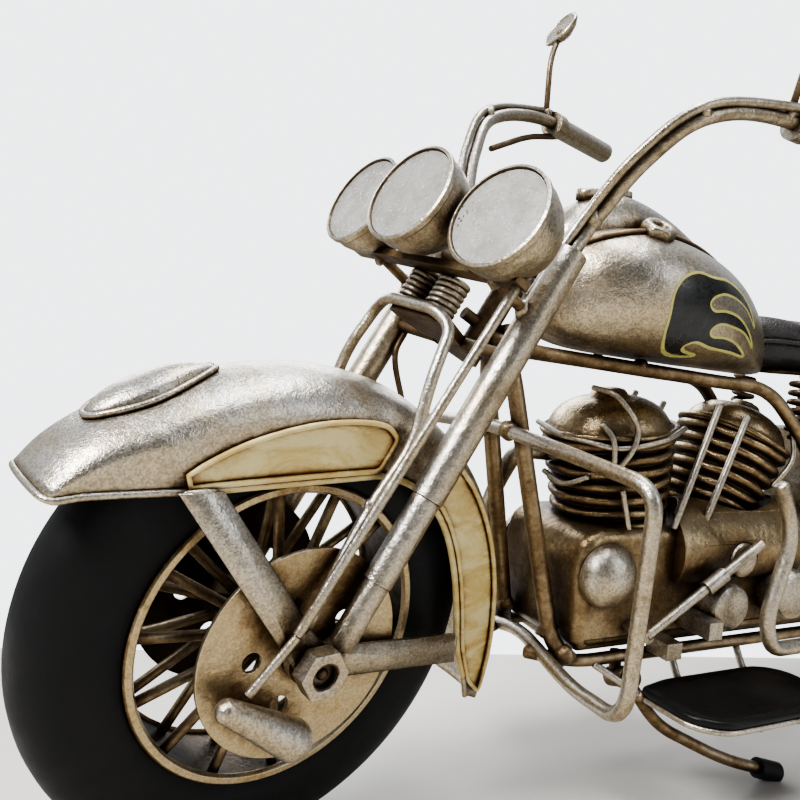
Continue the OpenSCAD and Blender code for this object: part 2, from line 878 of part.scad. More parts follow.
module engine_wires() {
    loops = [
        [[-85, 7, 110], [-86.4, 14, 109], [-89, 17.4, 105], [-91.3, 18.4, 100.6], [-90.2, 18.4, 95.4], [-87.5, 16.6, 90]],
        [[-78.4, -7, 99], [-79, 3, 97], [-82, 10.6, 96.4], [-88, 16.8, 95.6], [-99.5, 19, 98], [-110, 15, 100.6]],
        [[-84.6, 13, 101], [-86, 15.8, 97.6], [-86.7, 16.2, 92]],
        [[-89.5, 17.1, 84.5], [-91.8, 18, 75]],
        [[-79.4, -3.6, 86], [-80.2, 4.5, 84.2], [-83, 10.6, 87]],
        [[-146, 14, 84], [-151, 15.6, 92], [-152, 13, 101]]
    ];
    color(steel)
        stood() {
            for (p = loops)
                rod(bend(concat(p, len(p) < 3 ? [p[1] - [0.3, 0, 1]] : []), 4, 3), 1.5, 6);
            both() {
                bar([-106.6, 18.4, 74.8], [-119.6, 16.8, 107], 1.8);
                bar([-117.6, 17.8, 74.8], [-130.6, 16.4, 104], 1.8);
            }
        }
}

// One rounded cross-section of the tank or the seat.
function oval(x, w, z0, z1, e = 0.86, n = 20) = [
    for (i = [0 : n - 1])
        let (t = -360 * i / n)
        [
            x,
            w * sign(cos(t)) * pow(abs(cos(t)), e),
            (z0 + z1) / 2 + (z1 - z0) / 2 * sign(sin(t)) * pow(abs(sin(t)), e)
        ]
];

module tank_body(g) {
    loft([
        for (s = [
            [-67, 3.4, 128, 138], [-69, 7.6, 124.6, 142.6], [-73, 12.4, 121.8, 147], [-79, 17.8, 120, 150.4],
            [-87, 22, 118.8, 152], [-96, 23.8, 118, 152], [-106, 23.6, 117.2, 150.6], [-116, 21.6, 116.4, 148],
            [-126, 17.6, 115.8, 144], [-135, 12.8, 115.2, 138.6], [-143, 8, 114.8, 131.6], [-148.6, 3.4, 115, 123]
        ])
            oval(s[0] + (s[0] > -100 ? -g : g) * 0.8, s[1] - g, s[2] + g, s[3] - g)
    ]);
}

module fuel_tank() {
    color(steel)
        stood()
            difference() {
                tank_body(0);
                tank_body(1);
            }
}

// The raised spine along the top of the tank.
module console_body() {
    loft([
        for (s = [
            [-70, 3, 142, 146], [-73, 6.4, 141, 152.4], [-80, 8.4, 142, 157.6], [-90, 8.8, 142, 160.4],
            [-98, 8, 141, 159.4], [-108, 6.6, 140, 156], [-118, 5, 138, 151], [-127, 3.6, 136, 146], [-131, 2, 135, 142]
        ])
            oval(s[0], s[1], s[2], s[3], 0.8, 16)
    ]);
}

module tank_fittings() {
    color(steel)
        stood() {
            difference() {
                console_body();
                tank_body(-0.01);
            }
            translate([-88, 0, 160.1])
                rotate([0, 4, 0])
                    difference() {
                        cube([17, 5.4, 1.2], center = true);
                        translate([2, 0, 0]) cube([9, 2.4, 3], center = true);
                    }
            both()
                difference() {
                    translate([-95.4, 12.4, 149]) rotate([-30, 0, 0]) cylinder(h = 4.2, d = 8.2, $fn = 6);
                    translate([-95.4, 12.4, 149]) rotate([-30, 0, 0]) translate([0, 0, 1]) cylinder(h = 5, r = 2);
                    tank_body(-0.01);
                }
        }
}

module oil_tank() {
    color(steel)
        stood()
            translate([-184, 0, 74])
                difference() {
                    linear_extrude(24) offset(r = 4) square([20, 16], center = true);
                    translate([0, 0, 1]) linear_extrude(22) offset(r = 3) square([20, 16], center = true);
                }
}

module seat() {
    color(rubber)
        stood()
            difference() {
                loft([
                    for (s = [
                        [-141, 3, 119, 129], [-143, 5.4, 118, 131], [-148, 7.8, 117.4, 132.4], [-156, 10.6, 117, 132],
                        [-166, 15, 117, 130.4], [-177, 20, 117.2, 129.8], [-189, 24, 117.6, 131.4],
                        [-200, 25, 118, 134.8], [-208, 23, 118.6, 137], [-213, 17, 120.4, 136], [-215.4, 10, 124, 132.6]
                    ])
                        oval(s[0], s[1], s[2], s[3], 0.76)
                ]);
                tank_body(-0.2);
            }
}

module seat_frame() {
    color(rust)
        stood() {
            hull() {
                translate([-156, 0, 115.6]) cylinder(h = 1.4, r = 5.6, $fn = 32);
                both()
                    translate([-198, 15, 115.6]) cylinder(h = 1.4, r = 7, $fn = 32);
            }
            both() {
                translate([-157, 10.6, 97]) coil(7, 18.6, 1.6, 5);
                translate([-196, 18.6, 81.6]) coil(7, 34, 1.8, 8);
            }
        }
}

module rear_fender() color(steel) at_rear_wheel() fender_shell(56);
module rear_beads() color(steel) at_rear_wheel() fender_beads(56, false);
module rear_panels() color(cream) at_rear_wheel() fender_panels(false);

module rear_tubes() {
    color(rust)
        stood()
            both() {
                rod(bend([[-194, 17, 41], [-214, 21, 46], [-268, 21.6, 54]], 8, 3), 4, 10);
                rod(bend([[-161, 18, 84], [-182, 18.4, 83], [-214, 21, 76], [-268, 21.6, 57]], 8, 3), 4, 10);
                translate([-wheelbase, 0, tyre_r]) {
                    difference() {
                        hull() {
                            translate([0, 22.9, 0]) rotate([90, 0, 0]) cylinder(h = 2.5, r = 5, $fn = 32);
                            translate([9, 22.9, 0]) rotate([90, 0, 0]) cylinder(h = 2.5, r = 4, $fn = 32);
                        }
                        axle_rod(40);
                    }
                    stay(24, [-30, 17.2, 32]);
                }
            }
}

module tail_lamp() {
    color([0.5, 0.08, 0.05])
        at_rear_wheel()
            egg(polar(150, 65.6, 0), 4, polar(160, 68.6, 0), 3);
}

module exhausts() {
    front = [
        [-82, -6, 90.6], [-73, -8, 91.2], [-72.4, -19, 75.6], [-75, -27, 56], [-88, -28, 40.4], [-196, -28, 39.4]
    ];
    rear = [[-128, -17, 90], [-118, -24, 86], [-114, -30.6, 64], [-126, -34, 51], [-196, -36, 49.8]];
    color(steel)
        stood() {
            rod(bend(front, 9, 3), 4.6, 8);
            rod(bend(rear, 9, 3), 4.6, 8);
            for (p = [front[5], rear[4]])
                translate(p + [2, 0, 0])
                    rotate([0, -88, 0])
                        rotate_extrude()
                            polygon([
                                [0, 0], [2.8, 0], [5, 8], [5.2, 20], [5.2, 92], [4.2, 98], [3, 110],
                                [5, 134], [4.4, 134], [2.4, 110], [0, 108]
                            ]);
        }
}

pad = [[-97, 23], [-107, 20.6], [-140, 20.6], [-146, 26], [-146, 40], [-138, 45.6], [-104, 45.6], [-98, 40]];

module footboard_wires() {
    color(rust)
        stood()
            both() {
                rod(bend(concat([for (p = pad) [p[0], p[1], 31.4]], [[pad[0][0], pad[0][1], 31.4], [-104, 21.2, 31.4]]), 3, 2), 1.6, 6);
                for (x = [-113, -137])
                    rod(bend([[x, 15.4, 38.8], [x, 20, 31], [x - 3, 45, 30.8]], 3, 2), 2, 6);
                bar([-86, 17, 39], [-97, 23.4, 31.8], 2);
            }
}

module footboard_pads() {
    color(rubber)
        stood()
            both()
                translate([0, 0, 32.2])
                    for (k = [0, 1])
                        translate([0, 0, k * 1.2])
                            linear_extrude(k == 0 ? 1.2 : 1)
                                offset(r = -0.4 - 0.6 * k)
                                    polygon(pad);
}

// ---- kickstand ----

kick_at = [-96, 17.6, 34.6];

// Local X along the bike, local Z along the pivot pin.
module at_kick() {
    stood()
        translate(kick_at)
            rotate([-70, 0, 0])
                children();
}

kick_path = [[-1.4, 1.8, 0], [-8, 13, 0], [-30, 25, 0], [-46, 30.2, 0]];

module kick_pin() {
    color(dark)
        at_kick()
            union() {
                translate([0, 0, -4]) cylinder(h = 7, r = 1.3);
                translate([0, 0, 2]) cylinder(h = 1.4, r = 2.6);
                translate([0, 0, -6]) cylinder(h = 4, r = 2.6);
                bar([0, 0, -4.4], [0, -7, -2.4], 3.2);
            }
}

module kick_leg() {
    color(rust)
        at_kick()
            difference() {
                union() {
                    translate([0, 0, -1.6]) cylinder(h = 3.2, r = 3);
                    rod(bend(kick_path, 8, 4), 3.2, 10);
                }
                cylinder(h = 10, r = 1.36, center = true);
            }
}

module kick_tip() {
    end = kick_path[3];
    dir = unit(kick_path[3] - kick_path[2]);
    color(rubber)
        difference() {
            at_kick() {
                difference() {
                    bar(end - dir * 5, end + dir * 2.4, 5.6);
                    bar(end - dir * 6, end, 3.2);
                }
            }
            translate([0, 0, -50]) cube([600, 200, 100], center = true);
        }
}

front_tyre();
front_rim();
front_spokes();
front_hub();
front_discs();
rear_tyre();
rear_rim();
rear_spokes();
rear_hub();
rear_discs();
steering_stem();
fork_legs();
fork_sleeves();
brake_rod();
springer_hoop();
fork_springs();
lamp_bar();
lamp_bowls();
lamp_faces();
handlebars();
grips();
control_rods();
mirrors();
front_fender();
front_beads();
front_panels();
fender_dome();
front_stays();
front_axle();
front_axle_nuts();
caliper();
steering_head();
top_rails();
down_tubes();
base_rails();
guard_rods();
crankcase();
case_roof();
case_fittings();
barrels();
barrel_heads();
engine_wires();
fuel_tank();
tank_fittings();
oil_tank();
seat();
seat_frame();
rear_fender();
rear_beads();
rear_panels();
rear_tubes();
tail_lamp();
exhausts();
footboard_wires();
footboard_pads();
rear_axle();
rear_axle_nuts();
kick_pin();
kick_leg();
kick_tip();
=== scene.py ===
import json
import random
from math import atan2, copysign, cos, degrees, exp, pi, radians, sin, sqrt

import bmesh
import bpy
from mathutils import Matrix, Vector
from mathutils import noise as turbulence
from mathutils.geometry import delaunay_2d_cdt


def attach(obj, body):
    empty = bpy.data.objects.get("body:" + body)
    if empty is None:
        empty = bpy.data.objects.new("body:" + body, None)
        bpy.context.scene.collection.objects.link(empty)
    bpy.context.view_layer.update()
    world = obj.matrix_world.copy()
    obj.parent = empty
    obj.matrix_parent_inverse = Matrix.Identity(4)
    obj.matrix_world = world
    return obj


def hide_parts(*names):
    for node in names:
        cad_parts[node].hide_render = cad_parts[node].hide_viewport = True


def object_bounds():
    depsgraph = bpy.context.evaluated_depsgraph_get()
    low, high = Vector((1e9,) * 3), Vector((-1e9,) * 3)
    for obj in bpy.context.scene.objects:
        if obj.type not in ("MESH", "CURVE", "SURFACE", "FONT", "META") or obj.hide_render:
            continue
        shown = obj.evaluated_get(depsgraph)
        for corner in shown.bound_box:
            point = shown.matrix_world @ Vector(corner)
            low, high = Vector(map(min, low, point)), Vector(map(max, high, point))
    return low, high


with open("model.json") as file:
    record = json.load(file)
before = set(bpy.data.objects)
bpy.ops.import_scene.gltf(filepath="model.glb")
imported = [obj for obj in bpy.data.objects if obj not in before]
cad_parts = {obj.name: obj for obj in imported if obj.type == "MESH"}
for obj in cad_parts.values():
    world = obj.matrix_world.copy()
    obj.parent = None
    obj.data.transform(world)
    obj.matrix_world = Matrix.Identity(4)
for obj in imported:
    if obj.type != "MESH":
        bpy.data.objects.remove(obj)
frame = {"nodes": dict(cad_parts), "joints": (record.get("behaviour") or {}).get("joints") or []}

cad_low, cad_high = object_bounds()

# ---- the frame's own directions, and the design's driving sizes in millimetres ----

MM = 0.001
WHEELBASE = 276
TYRE_R = 55
STEER = radians(14)
RAKE = radians(30)
AXLE_LEAD = 4.8
LEG_Y = 22
FENDER_W = 14.5
SHEET = 0.8
TANK_OVAL = 0.86
SEAT_OVAL = 0.76
CHANNELS = (158, 170, 182, 194, 205)
CHANNEL_BOW = 3.0
SEAT_SPRING_D = 7

joints = {j["name"]: j for j in frame["joints"]}
rear_axle_dir = Vector(joints["rear_wheel_spin"]["axis"])
LEAN = -atan2(rear_axle_dir.z, rear_axle_dir.y)
lean_turn = Matrix.Rotation(-LEAN, 4, "X")
front_centre = Vector(joints["front_wheel_spin"]["pos_m"])
rear_centre = Vector(joints["rear_wheel_spin"]["pos_m"])
fork_axis = Vector((-sin(RAKE), 0, cos(RAKE)))

REAR = Matrix.Translation(rear_centre) @ lean_turn @ Matrix.Scale(MM, 4)
UPRIGHT = REAR @ Matrix.Translation((WHEELBASE, 0, -TYRE_R))
FRONT = (
    Matrix.Translation(front_centre) @ lean_turn
    @ Matrix.Rotation(STEER, 4, fork_axis) @ Matrix.Scale(MM, 4)
)
MIRROR = Matrix.Scale(-1, 4, (0, 1, 0))
KICK_AT = Vector((-96, 17.6, 34.6))
KICK = UPRIGHT @ Matrix.Translation(KICK_AT) @ Matrix.Rotation(radians(-70), 4, "X")


def vec(*p):
    return Vector(p)


def fork_pt(u, y, s):
    """u ahead of the fork legs, y to the left, s up along them, from the front axle."""
    c, k = cos(RAKE), sin(RAKE)
    return vec((u - AXLE_LEAD) * c - s * k, y, (u - AXLE_LEAD) * k + s * c)


# ---- materials ----

def node(tree, kind, **values):
    n = tree.nodes.new(kind)
    for key, value in values.items():
        if key in n.inputs:
            n.inputs[key].default_value = value
        else:
            setattr(n, key, value)
    return n


def joined(tree, output, shader, name):
    tree.links.new(output, shader.inputs[name])


def math_node(tree, operation, a, b=0.5, clamp=False):
    n = node(tree, "ShaderNodeMath", operation=operation, use_clamp=clamp)
    for socket, value in zip(n.inputs, (a, b)):
        if isinstance(value, (int, float)):
            socket.default_value = value
        else:
            tree.links.new(value, socket)
    return n.outputs[0]


def about(tree, value, middle, gain):
    """A noise value taken about its middle, and scaled."""
    return math_node(tree, "MULTIPLY", math_node(tree, "SUBTRACT", value, middle), gain)


def spread(tree, value, low, high, to_low=0.0, to_high=1.0):
    n = node(tree, "ShaderNodeMapRange", interpolation_type="SMOOTHSTEP")
    tree.links.new(value, n.inputs["Value"])
    for name, x in (("From Min", low), ("From Max", high), ("To Min", to_low), ("To Max", to_high)):
        n.inputs[name].default_value = x
    return n.outputs["Result"]


def mixed(tree, factor, a, b):
    n = node(tree, "ShaderNodeMix", data_type="RGBA")
    tree.links.new(factor, n.inputs[0])
    for socket, value in ((n.inputs[6], a), (n.inputs[7], b)):
        if isinstance(value, tuple):
            socket.default_value = (*value, 1)
        else:
            tree.links.new(value, socket)
    return n.outputs[2]


def grain(tree, where, scale, detail=5.0, roughness=0.6, distortion=0.0, stretch=None):
    source = where.outputs["Object"]
    if stretch:
        turn = node(tree, "ShaderNodeMapping")
        turn.inputs["Scale"].default_value = stretch
        tree.links.new(source, turn.inputs["Vector"])
        source = turn.outputs["Vector"]
    n = node(
        tree, "ShaderNodeTexNoise",
        Scale=scale, Detail=detail, Roughness=roughness, Distortion=distortion,
    )
    tree.links.new(source, n.inputs["Vector"])
    return n.outputs["Fac"]


def bumped(tree, shader, height, distance, strength=1.0, under=None):
    n = node(tree, "ShaderNodeBump", Distance=distance, Strength=strength)
    tree.links.new(height, n.inputs["Height"])
    if under:
        tree.links.new(under, n.inputs["Normal"])
    if shader:
        joined(tree, n.outputs["Normal"], shader, "Normal")
    return n.outputs["Normal"]


def new_material(name):
    m = bpy.data.materials.new(name)
    m.use_nodes = True
    tree = m.node_tree
    return m, tree, tree.nodes["Principled BSDF"], node(tree, "ShaderNodeTexCoord")


def crevices(tree, reach=0.006):
    """High in corners and where pieces meet."""
    n = node(tree, "ShaderNodeAmbientOcclusion", samples=6, Distance=reach)
    return math_node(tree, "SUBTRACT", 1.0, n.outputs["AO"], clamp=True)


def patina_and_shade(
    name, metal, stain_and_shade=(0.085, 0.040, 0.014), wash=0.42, rough=0.32, flake=0.5, reach=0.006,
    under=0.42, patchy=1.6,
):
    """Old-silver lacquer over rough iron, flaky, with a brown wash in corners and patches, and painted shade
    on the undersides: faces turned down are darker and browner, by the amount under, partly wash settled
    there and partly shade.
    """
    m, tree, shader, where = new_material(name)
    patches = grain(tree, where, 46, 6, 0.68, 0.6)
    specks = grain(tree, where, 420, 5, 0.7)
    dents = grain(tree, where, 120, 3, 0.5)
    corner = crevices(tree, reach)
    facing = node(tree, "ShaderNodeSeparateXYZ")
    tree.links.new(where.outputs["Normal"], facing.inputs["Vector"])
    # Painted shade on the undersides, partly wash settled there: the further a face turns down, the more it
    # is darkened, up to the amount under.
    underside_wash_and_shade = spread(tree, facing.outputs["Z"], -0.85, 0.35, under, 0.0)
    raw = math_node(tree, "ADD", math_node(tree, "MULTIPLY", corner, 1.9), wash - 0.5)
    raw = math_node(tree, "ADD", raw, underside_wash_and_shade)
    raw = math_node(tree, "ADD", raw, about(tree, patches, 0.5, patchy))
    raw = math_node(tree, "ADD", raw, about(tree, specks, 0.5, 1.0))
    # The next two masks hold the brown wash in corners and patches together with the painted underside shade;
    # the second takes the strongest of it near black.
    wash_and_shade = spread(tree, raw, 0.0, 0.72)
    deep = spread(tree, raw, 0.45, 1.1)
    flakes = node(tree, "ShaderNodeTexVoronoi", Scale=2300.0, Randomness=1.0)
    tree.links.new(where.outputs["Object"], flakes.inputs["Vector"])
    glint = spread(tree, flakes.outputs["Color"], 0.0, 1.0, 1.0 - 0.5 * flake, 1.0)
    warm = tuple(a * b for a, b in zip(metal, (0.84, 0.68, 0.42)))
    tint = tuple(a * 0.45 + b * 0.55 for a, b in zip(metal, warm))
    colour = mixed(tree, spread(tree, patches, 0.40, 0.66), metal, tint)
    # Painted shade: faces turned down are tinted warmer and darker.
    colour = mixed(tree, spread(tree, facing.outputs["Z"], -0.55, 0.45, 0.8, 0.0), colour, warm)
    colour = mixed(tree, wash_and_shade, colour, tuple(a * 0.22 + b * 0.78 for a, b in zip(warm, stain_and_shade)))
    colour = mixed(tree, deep, colour, tuple(a * 0.4 for a in stain_and_shade))
    toned = node(tree, "ShaderNodeMix", data_type="RGBA", blend_type="MULTIPLY")
    toned.inputs[0].default_value = 1.0
    tree.links.new(colour, toned.inputs[6])
    tree.links.new(glint, toned.inputs[7])
    joined(tree, toned.outputs[2], shader, "Base Color")
    joined(tree, spread(tree, wash_and_shade, 0, 1, 0.97, 0.62), shader, "Metallic")
    worn = spread(tree, wash_and_shade, 0, 1, rough, rough + 0.12)
    roughness = math_node(tree, "ADD", worn, about(tree, specks, 0.5, 0.22))
    joined(tree, roughness, shader, "Roughness")
    base = bumped(tree, None, dents, 0.0010, 0.55)
    base = bumped(tree, None, specks, 0.00026, 0.8, base)
    bumped(tree, shader, flakes.outputs["Distance"], 0.00007, 0.6 * flake, base)
    return m


def enamel(name, paint, rust=(0.30, 0.13, 0.03)):
    """Aged cream enamel, streaked, with rust along the edges."""
    m, tree, shader, where = new_material(name)
    streaks = grain(tree, where, 60, 6, 0.72, 0.9, (1, 1, 2.4))
    specks = grain(tree, where, 360, 5, 0.7)
    corner = crevices(tree, 0.0035)
    raw = math_node(tree, "MULTIPLY", corner, 1.5)
    raw = math_node(tree, "ADD", raw, about(tree, streaks, 0.52, 1.9))
    raw = math_node(tree, "ADD", raw, about(tree, specks, 0.5, 0.6))
    edge = spread(tree, raw, 0.12, 0.75)
    deep = spread(tree, raw, 0.5, 1.0)
    yellowed = tuple(a * b for a, b in zip(paint, (0.82, 0.70, 0.46)))
    colour = mixed(tree, spread(tree, streaks, 0.38, 0.62), paint, yellowed)
    colour = mixed(tree, edge, colour, rust)
    colour = mixed(tree, deep, colour, (0.06, 0.03, 0.012))
    joined(tree, colour, shader, "Base Color")
    joined(tree, spread(tree, specks, 0.3, 0.7, 0.26, 0.46), shader, "Roughness")
    shader.inputs["Coat Weight"].default_value = 0.25
    base = bumped(tree, None, streaks, 0.0005, 0.5)
    bumped(tree, shader, specks, 0.00014, 0.6, base)
    return m


def rubber(name, rough=0.54, tone=(0.005, 0.005, 0.0054), grain_size=620, depth=0.00006):
    m, tree, shader, where = new_material(name)
    soft = grain(tree, where, 55, 5, 0.6)
    fine = grain(tree, where, grain_size, 5, 0.65)
    dust = spread(tree, soft, 0.45, 0.8)
    joined(tree, mixed(tree, dust, tone, tuple(a * 2.1 + 0.002 for a in tone)), shader, "Base Color")
    joined(tree, spread(tree, soft, 0.3, 0.7, rough - 0.07, rough + 0.12), shader, "Roughness")
    shader.inputs["Specular IOR Level"].default_value = 0.22
    base = bumped(tree, None, soft, 0.0006, 0.4)
    bumped(tree, shader, fine, depth, 0.7, base)
    return m


def leather(name):
    m, tree, shader, where = new_material(name)
    cells = node(tree, "ShaderNodeTexVoronoi", feature="DISTANCE_TO_EDGE", Scale=900.0, Randomness=1.0)
    tree.links.new(where.outputs["Object"], cells.inputs["Vector"])
    soft = grain(tree, where, 90, 5, 0.6)
    pebble = spread(tree, cells.outputs["Distance"], 0.0, 0.22)
    colour = mixed(tree, spread(tree, soft, 0.4, 0.75), (0.012, 0.011, 0.011), (0.03, 0.027, 0.025))
    joined(tree, colour, shader, "Base Color")
    joined(tree, spread(tree, soft, 0.3, 0.7, 0.3, 0.5), shader, "Roughness")
    base = bumped(tree, None, soft, 0.0006, 0.5)
    bumped(tree, shader, pebble, 0.00012, 0.55, base)
    return m


def glitter(name):
    """Silver-grey paint full of glitter on the lamp faces, with painted brown shade in their corners."""
    m, tree, shader, where = new_material(name)
    flakes = node(tree, "ShaderNodeTexVoronoi", Scale=1900.0, Randomness=1.0)
    tree.links.new(where.outputs["Object"], flakes.inputs["Vector"])
    split = node(tree, "ShaderNodeSeparateColor")
    tree.links.new(flakes.outputs["Color"], split.inputs["Color"])
    soft = grain(tree, where, 150, 5, 0.65)
    corner = crevices(tree, 0.003)
    spark = spread(tree, split.outputs["Red"], 0.82, 0.97)
    colour = mixed(tree, spread(tree, soft, 0.35, 0.7), (0.46, 0.45, 0.43), (0.33, 0.315, 0.285))
    colour = mixed(tree, spark, colour, (0.86, 0.86, 0.82))
    # Painted shade: dark brown in the corners of the faces, where the bowls' rims shade them.
    colour = mixed(tree, spread(tree, corner, 0.25, 0.8), colour, (0.12, 0.07, 0.03))
    joined(tree, colour, shader, "Base Color")
    joined(tree, spread(tree, spark, 0, 1, 0.5, 0.95), shader, "Metallic")
    joined(tree, spread(tree, spark, 0, 1, 0.5, 0.18), shader, "Roughness")
    base = bumped(tree, None, split.outputs["Green"], 0.00007, 0.8)
    bumped(tree, shader, soft, 0.0003, 0.35, base)
    return m


def red_glass(name):
    m, tree, shader, where = new_material(name)
    soft = grain(tree, where, 300, 4, 0.6)
    ribs = node(tree, "ShaderNodeTexWave", Scale=300.0, Distortion=0.3)
    tree.links.new(where.outputs["Object"], ribs.inputs["Vector"])
    joined(tree, mixed(tree, soft, (0.30, 0.012, 0.008), (0.12, 0.004, 0.003)), shader, "Base Color")
    shader.inputs["Roughness"].default_value = 0.16
    shader.inputs["Coat Weight"].default_value = 0.7
    bumped(tree, shader, ribs.outputs["Fac"], 0.0002, 0.5)
    return m


def paint(name, colour, worn):
    """Brushed-on paint, worn and a little cloudy."""
    m, tree, shader, where = new_material(name)
    soft = grain(tree, where, 160, 5, 0.65)
    fine = grain(tree, where, 800, 4, 0.7)
    joined(tree, mixed(tree, spread(tree, soft, 0.42, 0.75), colour, worn), shader, "Base Color")
    joined(tree, spread(tree, fine, 0.3, 0.7, 0.22, 0.42), shader, "Roughness")
    bumped(tree, shader, fine, 0.00006, 0.6)
    return m


SILVER = (0.68, 0.655, 0.61)
CHAMPAGNE = (0.68, 0.60, 0.45)
M = {
    "silver": patina_and_shade("old_silver", SILVER, wash=0.22, flake=0.9, patchy=0.9),
    "fork": patina_and_shade("stained_silver", SILVER, wash=0.34, flake=0.8, patchy=1.8),
    "brown": patina_and_shade("brown_washed_iron", (0.46, 0.38, 0.27), wash=0.66, rough=0.36, flake=0.4),
    "dark": patina_and_shade("dark_iron", (0.26, 0.22, 0.17), wash=0.70, rough=0.4, flake=0.3),
    "bronze": patina_and_shade("bronze_sheet", (0.44, 0.36, 0.235), wash=0.60, rough=0.28, reach=0.012, patchy=1.1),
    "engine": patina_and_shade("engine_bronze", (0.46, 0.37, 0.235), wash=0.66, rough=0.24, flake=0.4, reach=0.005,
                     patchy=1.9),
    "gold": patina_and_shade("champagne_sheet", CHAMPAGNE, stain_and_shade=(0.17, 0.075, 0.018), wash=0.38, rough=0.32, flake=0.6,
                   under=0.1, patchy=2.4),
    "cream": enamel("cream_enamel", (0.80, 0.68, 0.34)),
    "tyre": rubber("tyre_rubber"),
    "pad": rubber("pad_rubber", 0.34, (0.008, 0.0085, 0.009), 900),
    "leather": leather("black_leather"),
    "glitter": glitter("lamp_glitter"),
    "red": red_glass("red_lens"),
    "black": paint("flame_black", (0.010, 0.011, 0.011), (0.03, 0.028, 0.024)),
    "line": paint("flame_line", (0.60, 0.56, 0.17), (0.42, 0.37, 0.12)),
}
RIM_HALF = 10.2


def painted_shade_inside(name, under, wheel, inner_faces):
    """The same finish with painted shade inside the wheel: dark brown on the rim's barrel for a rim, and on
    the sides of the discs that face in for the discs.
    """
    m = under.copy()
    m.name = name
    tree = m.node_tree
    shader = tree.nodes["Principled BSDF"]
    where = node(tree, "ShaderNodeTexCoord")
    middle, axle = joints[wheel]["pos_m"], joints[wheel]["axis"]
    offset = node(tree, "ShaderNodeVectorMath", operation="SUBTRACT")
    offset.inputs[1].default_value = middle
    tree.links.new(where.outputs["Object"], offset.inputs[0])
    along = node(tree, "ShaderNodeVectorMath", operation="DOT_PRODUCT")
    along.inputs[1].default_value = axle
    tree.links.new(offset.outputs["Vector"], along.inputs[0])
    if inner_faces:
        facing = node(tree, "ShaderNodeVectorMath", operation="DOT_PRODUCT")
        facing.inputs[1].default_value = axle
        tree.links.new(where.outputs["Normal"], facing.inputs[0])
        out = math_node(tree, "MULTIPLY", along.outputs["Value"], facing.outputs["Value"])
        inside_shade = spread(tree, out, -0.009, 0.004, 1.0, 0.0)
    else:
        out = math_node(tree, "ABSOLUTE", along.outputs["Value"])
        inside_shade = spread(tree, out, (RIM_HALF - 1.9) * MM, (RIM_HALF - 1.1) * MM, 1.0, 0.0)
    old = shader.inputs["Base Color"].links[0].from_socket
    # Painted shade: dark brown mixed in where shade falls inside the wheel.
    joined(tree, mixed(tree, inside_shade, old, (0.030, 0.019, 0.010)), shader, "Base Color")
    return m


# Rims and discs, with painted shade on their insides.
for end in ("front", "rear"):
    M[end + "_rim"] = painted_shade_inside(end + "_rim_painted_shade", M["gold"], end + "_wheel_spin", False)
    M[end + "_discs"] = painted_shade_inside(end + "_disc_painted_shade", M["gold"], end + "_wheel_spin", True)

# ---- building pieces ----

class Shape:
    """Collects vertices and faces, in metres in the row frame."""

    def __init__(self):
        self.verts = []
        self.faces = []

    def add(self, points, faces, place):
        base = len(self.verts)
        self.verts += [place @ Vector(p) for p in points]
        flip = place.determinant() < 0
        self.faces += [[base + i for i in (reversed(f) if flip else f)] for f in faces]
        return self

    def piece(self, name, body, look, *nodes, closed=True):
        mesh = bpy.data.meshes.new(name)
        mesh.from_pydata([tuple(v) for v in self.verts], [], self.faces)
        mesh.validate()
        if closed:
            solid = bmesh.new()
            solid.from_mesh(mesh)
            bmesh.ops.recalc_face_normals(solid, faces=solid.faces)
            solid.to_mesh(mesh)
            solid.free()
        mesh.materials.append(M[look])
        mesh.polygons.foreach_set("use_smooth", [True] * len(mesh.polygons))
        obj = bpy.data.objects.new(name, mesh)
        bpy.context.scene.collection.objects.link(obj)
        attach(obj, body)
        if nodes:
            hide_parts(*nodes)
        return obj


def grid_faces(rows, columns, close_rows=False, close_columns=False):
    faces = []
    for i in range(rows if close_rows else rows - 1):
        for j in range(columns if close_columns else columns - 1):
            a, b = i * columns, (i + 1) % rows * columns
            k = (j + 1) % columns
            faces.append([a + j, b + j, b + k, a + k])
    return faces


def capped_faces(rows, columns, flip=False):
    """Closed rings of points joined row to row, turned over if asked, with the first and last ring filled."""
    faces = grid_faces(rows, columns, False, True)
    if flip:
        faces = [f[::-1] for f in faces]
    first = list(range(columns))
    return faces + [first[::-1], [(rows - 1) * columns + j for j in first]]


def on_circle(n):
    """Angles evenly round a circle."""
    return [2 * pi * i / n for i in range(n)]


def bend(points, r, n=6):
    """Rounds a path's corners, starting r before each."""
    p = [Vector(q) for q in points]
    out = [p[0]]
    for i in range(1, len(p) - 1):
        a, b = p[i - 1] - p[i], p[i + 1] - p[i]
        k = min(r, a.length * 0.48, b.length * 0.48)
        s, e = p[i] + a.normalized() * k, p[i] + b.normalized() * k
        for j in range(n + 1):
            t = j / n
            out.append(s * (1 - t) ** 2 + p[i] * 2 * t * (1 - t) + e * t * t)
    out.append(p[-1])
    return out


def curve(points, n=8, closed=False):
    """A smooth path through the points."""
    p = [Vector(q) for q in points]
    m = len(p)
    out = []
    for i in range(m if closed else m - 1):
        if closed:
            a, b, c, d = p[i - 1], p[i], p[(i + 1) % m], p[(i + 2) % m]
        else:
            a, b, c, d = p[max(i - 1, 0)], p[i], p[i + 1], p[min(i + 2, m - 1)]
        for j in range(n):
            t = j / n
            out.append((b * 2 + (c - a) * t + (a * 2 - b * 5 + c * 4 - d) * t * t
                        + (b * 3 - a - c * 3 + d) * t ** 3) / 2)
    if not closed:
        out.append(p[-1])
    return out


